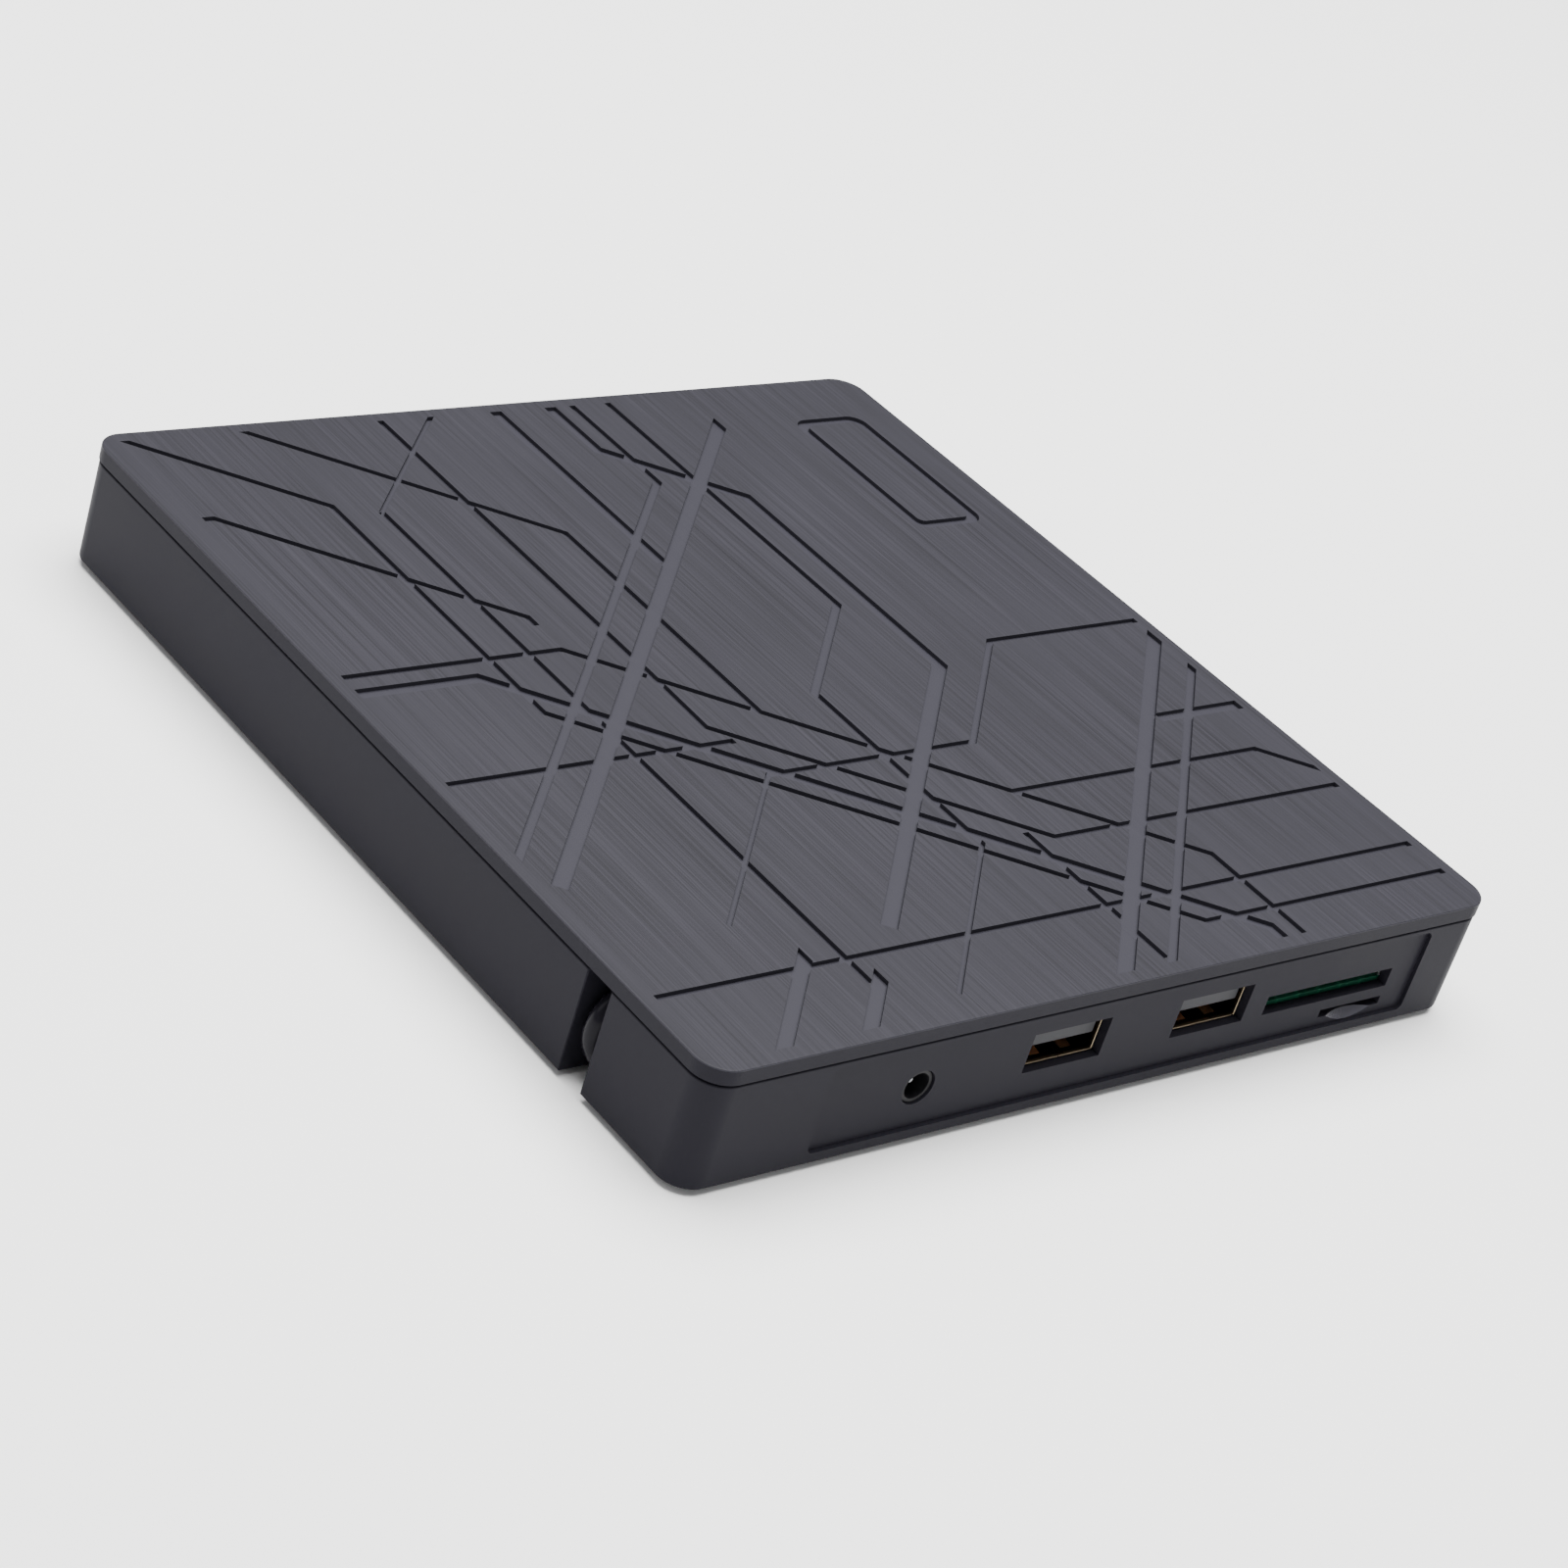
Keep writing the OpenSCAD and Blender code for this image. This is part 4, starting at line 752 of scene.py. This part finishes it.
class BURNER_OT_drive(bpy.types.Operator):
    """Makes the drive's pan, roof, boards, flat lead, guides and rails"""

    bl_idname = "burner.drive"
    bl_label = "Drive housing"

    def execute(self, context):
        sheet = rolled_metal("zinc_coated_sheet", srgb("#aeb1b4"), roughness=0.34, grain=0.4 * MM)
        bright = rolled_metal("bright_rolled_steel", srgb("#c4c7ca"), roughness=0.24, grain=0.2 * MM)
        acetal = moulded("black_acetal", srgb("#222225"), roughness=0.4, grain=0.3 * MM, relief=0.01 * MM)
        soften("drive_chassis", "pressed", sheet, 0.15 * MM)
        soften("drive_cover", "pressed", sheet, 0.15 * MM)
        paint("drive_board", bpy.data.materials["solder_mask_board"])
        soften("drive_chips", "moulded", bpy.data.materials["chip_epoxy"], 0.1 * MM)
        soften("sata_socket", "moulded", bpy.data.materials["glass_filled_nylon"], 0.1 * MM)
        paint("flex_cable", printed_film())
        for side in ("left", "right"):
            soften(f"rail_guide_{side}", "moulded", acetal, 0.12 * MM)
            soften(f"rail_{side}", "pressed", bright, 0.1 * MM)
        return {"FINISHED"}


class BURNER_OT_tray(bpy.types.Operator):
    """Makes the disc tray, its front and its controls"""

    bl_idname = "burner.tray"
    bl_label = "Disc tray"

    def execute(self, context):
        settings = context.scene.burner_case
        front = moulded(
            "satin_abs_front", settings.bezel_color, roughness=0.48, grain=settings.grain,
            relief=0.01 * MM, gloss=0.06)
        tray_plastic = moulded(
            "spark_textured_abs", srgb("#1d1d21"), roughness=0.55, grain=0.35 * MM,
            relief=0.03 * MM, gloss=0.2)
        acrylic = clear_moulding("clear_acrylic", srgb("#dfeef5"), ior=1.49, roughness=0.12)
        sheet = rolled_metal("passivated_sheet", srgb("#55575b"), roughness=0.5, grain=0.4 * MM)
        soften("tray", "moulded", tray_plastic, 0.2 * MM, 3)
        soften("tray_bezel", "moulded", front, 0.3 * MM, 3)
        soften("eject_button", "moulded", front, 0.25 * MM, 3)
        soften("light_pipe", "moulded", acrylic, 0.15 * MM, 3)
        soften("tray_bottom", "pressed", sheet, 0.08 * MM)
        paint("switch_board", bpy.data.materials["solder_mask_board"])
        soften("lock_solenoid", "wound", enamelled_winding(), 0.5 * MM, 3)
        soften("lock_lever", "moulded", bpy.data.materials["white_nylon"], 0.15 * MM)
        return {"FINISHED"}


class BURNER_OT_pickup(bpy.types.Operator):
    """Makes the pickup mechanism and the disc spindle"""

    bl_idname = "burner.pickup"
    bl_label = "Pickup and spindle"

    # Millimetres over the turntable's face: the hub's height and the floor of its recess
    HUB_HEIGHT, RECESS = 1.9, 0.6
    # Inner and outer radius, foot and top of the rubber ring and of the drilled shaft's end
    RING = (9.6, 12.2, -0.2, 0.06)
    SHAFT = (0.35, 1.5, RECESS - 0.1, RECESS + 0.5)
    # Radius of these rings' shoulders, and how far in its middle point lies as a share of it
    SHOULDER, SHOULDER_IN = 0.05, 0.3
    RING_STEPS = 96
    # A claw's outline as radius and height, half its width and the turns of the three claws
    CLAW = [(5.7, 0.45), (7.3, 0.45), (7.55, 0.75), (7.5, 1.0), (7.0, 1.6), (5.7, 1.6)]
    CLAW_HALF = 0.85
    CLAW_TURNS = (0, 120, 240)
    CLAW_ROUND = 0.08
    # The frame, the rods and the lead screw lie at this angle in the tray
    SLED_TURN = math.radians(45)

    def spun_ring(self, middle, inner, outer, foot, top):
        """A ring with rounded shoulders, spun about the spindle."""
        soft, ease = self.SHOULDER, self.SHOULDER_IN * self.SHOULDER
        outline = [
            (inner, foot), (inner, top - soft), (inner + ease, top - ease), (inner + soft, top),
            (outer - soft, top), (outer - ease, top - ease), (outer, top - soft), (outer, foot)]
        bm = bmesh.new()
        verts = [bm.verts.new(middle + Vector((r, 0, z)) * MM) for r, z in outline]
        edges = [bm.edges.new(pair) for pair in zip(verts, verts[1:] + verts[:1])]
        bmesh.ops.spin(
            bm, geom=verts + edges, cent=middle, axis=(0, 0, 1), angle=math.tau,
            steps=self.RING_STEPS, use_merge=True)
        bmesh.ops.recalc_face_normals(bm, faces=bm.faces)
        return bm

    def claws(self, middle):
        """The three sprung claws that hold the disc, in the hub's slots."""
        bm = bmesh.new()
        for turn in self.CLAW_TURNS:
            place = Matrix.Translation(middle) @ Matrix.Rotation(math.radians(turn), 4, "Z")
            face = bm.faces.new([
                bm.verts.new(place @ (Vector((r, -self.CLAW_HALF, z)) * MM)) for r, z in self.CLAW])
            grown = bmesh.ops.extrude_face_region(bm, geom=[face])["geom"]
            across = place.to_3x3() @ Vector((0, 2 * self.CLAW_HALF * MM, 0))
            bmesh.ops.translate(
                bm, verts=[v for v in grown if isinstance(v, bmesh.types.BMVert)], vec=across)
        bmesh.ops.recalc_face_normals(bm, faces=bm.faces)
        round_edges(bm, real_edges(bm), self.CLAW_ROUND * MM, 2)
        return bm

    def execute(self, context):
        along = self.SLED_TURN
        dark = rolled_metal(
            "phosphated_sheet", srgb("#57595c"), roughness=0.42, grain=0.4 * MM, turn=along)
        chrome = rolled_metal(
            "ground_steel_rod", srgb("#d6d9dc"), roughness=0.14, grain=0.1 * MM, turn=along)
        alloy = rolled_metal("die_cast_alloy", srgb("#777a7e"), roughness=0.5, grain=0.6 * MM)
        brass = rolled_metal("rolled_brass", srgb("#c9a95c"), roughness=0.26, grain=0.2 * MM, turn=along)
        bell = rolled_metal("plated_motor_bell", srgb("#c2c5c8"), roughness=0.2, grain=0.2 * MM)
        plastic = moulded(
            "black_polycarbonate", srgb("#18181b"), roughness=0.4, grain=0.3 * MM,
            relief=0.012 * MM, gloss=0.2)
        painted = moulded(
            "black_painted_sheet", srgb("#19191c"), roughness=0.5, grain=0.25 * MM,
            relief=0.012 * MM, gloss=0.2)
        acetal = moulded(
            "natural_acetal", srgb("#a9a8a2"), roughness=0.4, grain=0.25 * MM, relief=0.01 * MM, gloss=0.3)
        coated = clear_moulding("coated_lens", srgb("#b9cdf2"), ior=1.6, roughness=0.03)
        rubber = bpy.data.materials["matt_rubber"]
        soften("traverse_frame", "pressed", dark, 0.12 * MM)
        soften("traverse_cover", "pressed", painted, 0.08 * MM)
        soften("traverse_dampers", "moulded", rubber, 0.3 * MM, 3)
        soften("traverse_screws", "turned", bpy.data.materials["zinc_plated_steel"], 0.08 * MM)
        for rod in ("guide_rod_main", "guide_rod_side"):
            soften(rod, "ground", chrome, 0.1 * MM)
        soften("lead_screw", "rolled", brass, 0.1 * MM)
        soften("sled_motor", "drawn", bell, 0.15 * MM, 3)
        soften("spindle_stator", "wound", bpy.data.materials["enamelled_copper_wire_painted_shading"], 0.1 * MM)
        soften("spindle_bell", "drawn", bell, 0.2 * MM, 3)
        soften("turntable", "moulded", plastic, 0.12 * MM, 3)
        low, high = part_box("turntable")
        middle = Vector(((low.x + high.x) / 2, (low.y + high.y) / 2, high.z - self.HUB_HEIGHT * MM))
        make_piece(
            self.spun_ring(middle, *self.RING), "friction_ring", rubber, "spindle")
        make_piece(
            self.spun_ring(middle, *self.SHAFT), "shaft_end", chrome, "spindle")
        make_piece(self.claws(middle), "disc_claws", acetal, "spindle")
        soften("pickup_carriage", "cast", alloy, 0.25 * MM, 3)
        soften("lens_holder", "moulded", plastic, 0.2 * MM, 3)
        soften("lens", "ground", coated, 0.03 * MM)
        return {"FINISHED"}


class BURNER_PT_panel(bpy.types.Panel):
    """Lists the burner's pieces and settings"""

    bl_idname = "BURNER_PT_panel"
    bl_label = "Disc burner"
    bl_space_type = "VIEW_3D"
    bl_region_type = "UI"
    bl_category = "Disc burner"

    def draw(self, context):
        for operator in OPERATORS:
            self.layout.operator(operator.bl_idname)
        for name in SETTINGS:
            settings = getattr(context.scene, name)
            for key in settings.__annotations__:
                self.layout.prop(settings, key)


OPERATORS = (
    BURNER_OT_stage,
    BURNER_OT_top_cover,
    BURNER_OT_lower_case,
    BURNER_OT_sockets,
    BURNER_OT_lead,
    BURNER_OT_drive,
    BURNER_OT_tray,
    BURNER_OT_pickup,
)
SETTINGS = {
    "burner_stage": StageSettings,
    "burner_cover": CoverSettings,
    "burner_case": CaseSettings,
    "burner_lead": LeadSettings,
}


def register():
    for settings in SETTINGS.values():
        bpy.utils.register_class(settings)
    for cls in (*OPERATORS, BURNER_PT_panel):
        bpy.utils.register_class(cls)
    for name, settings in SETTINGS.items():
        setattr(bpy.types.Scene, name, PointerProperty(type=settings))


def unregister():
    for name in SETTINGS:
        delattr(bpy.types.Scene, name)
    for cls in (BURNER_PT_panel, *reversed(OPERATORS)):
        bpy.utils.unregister_class(cls)
    for settings in SETTINGS.values():
        bpy.utils.unregister_class(settings)


def main():
    register()
    bpy.ops.burner.stage()
    bpy.ops.burner.top_cover()
    bpy.ops.burner.lower_case()
    bpy.ops.burner.sockets()
    bpy.ops.burner.lead()
    bpy.ops.burner.drive()
    bpy.ops.burner.tray()
    bpy.ops.burner.pickup()


if __name__ == "__main__":
    main()
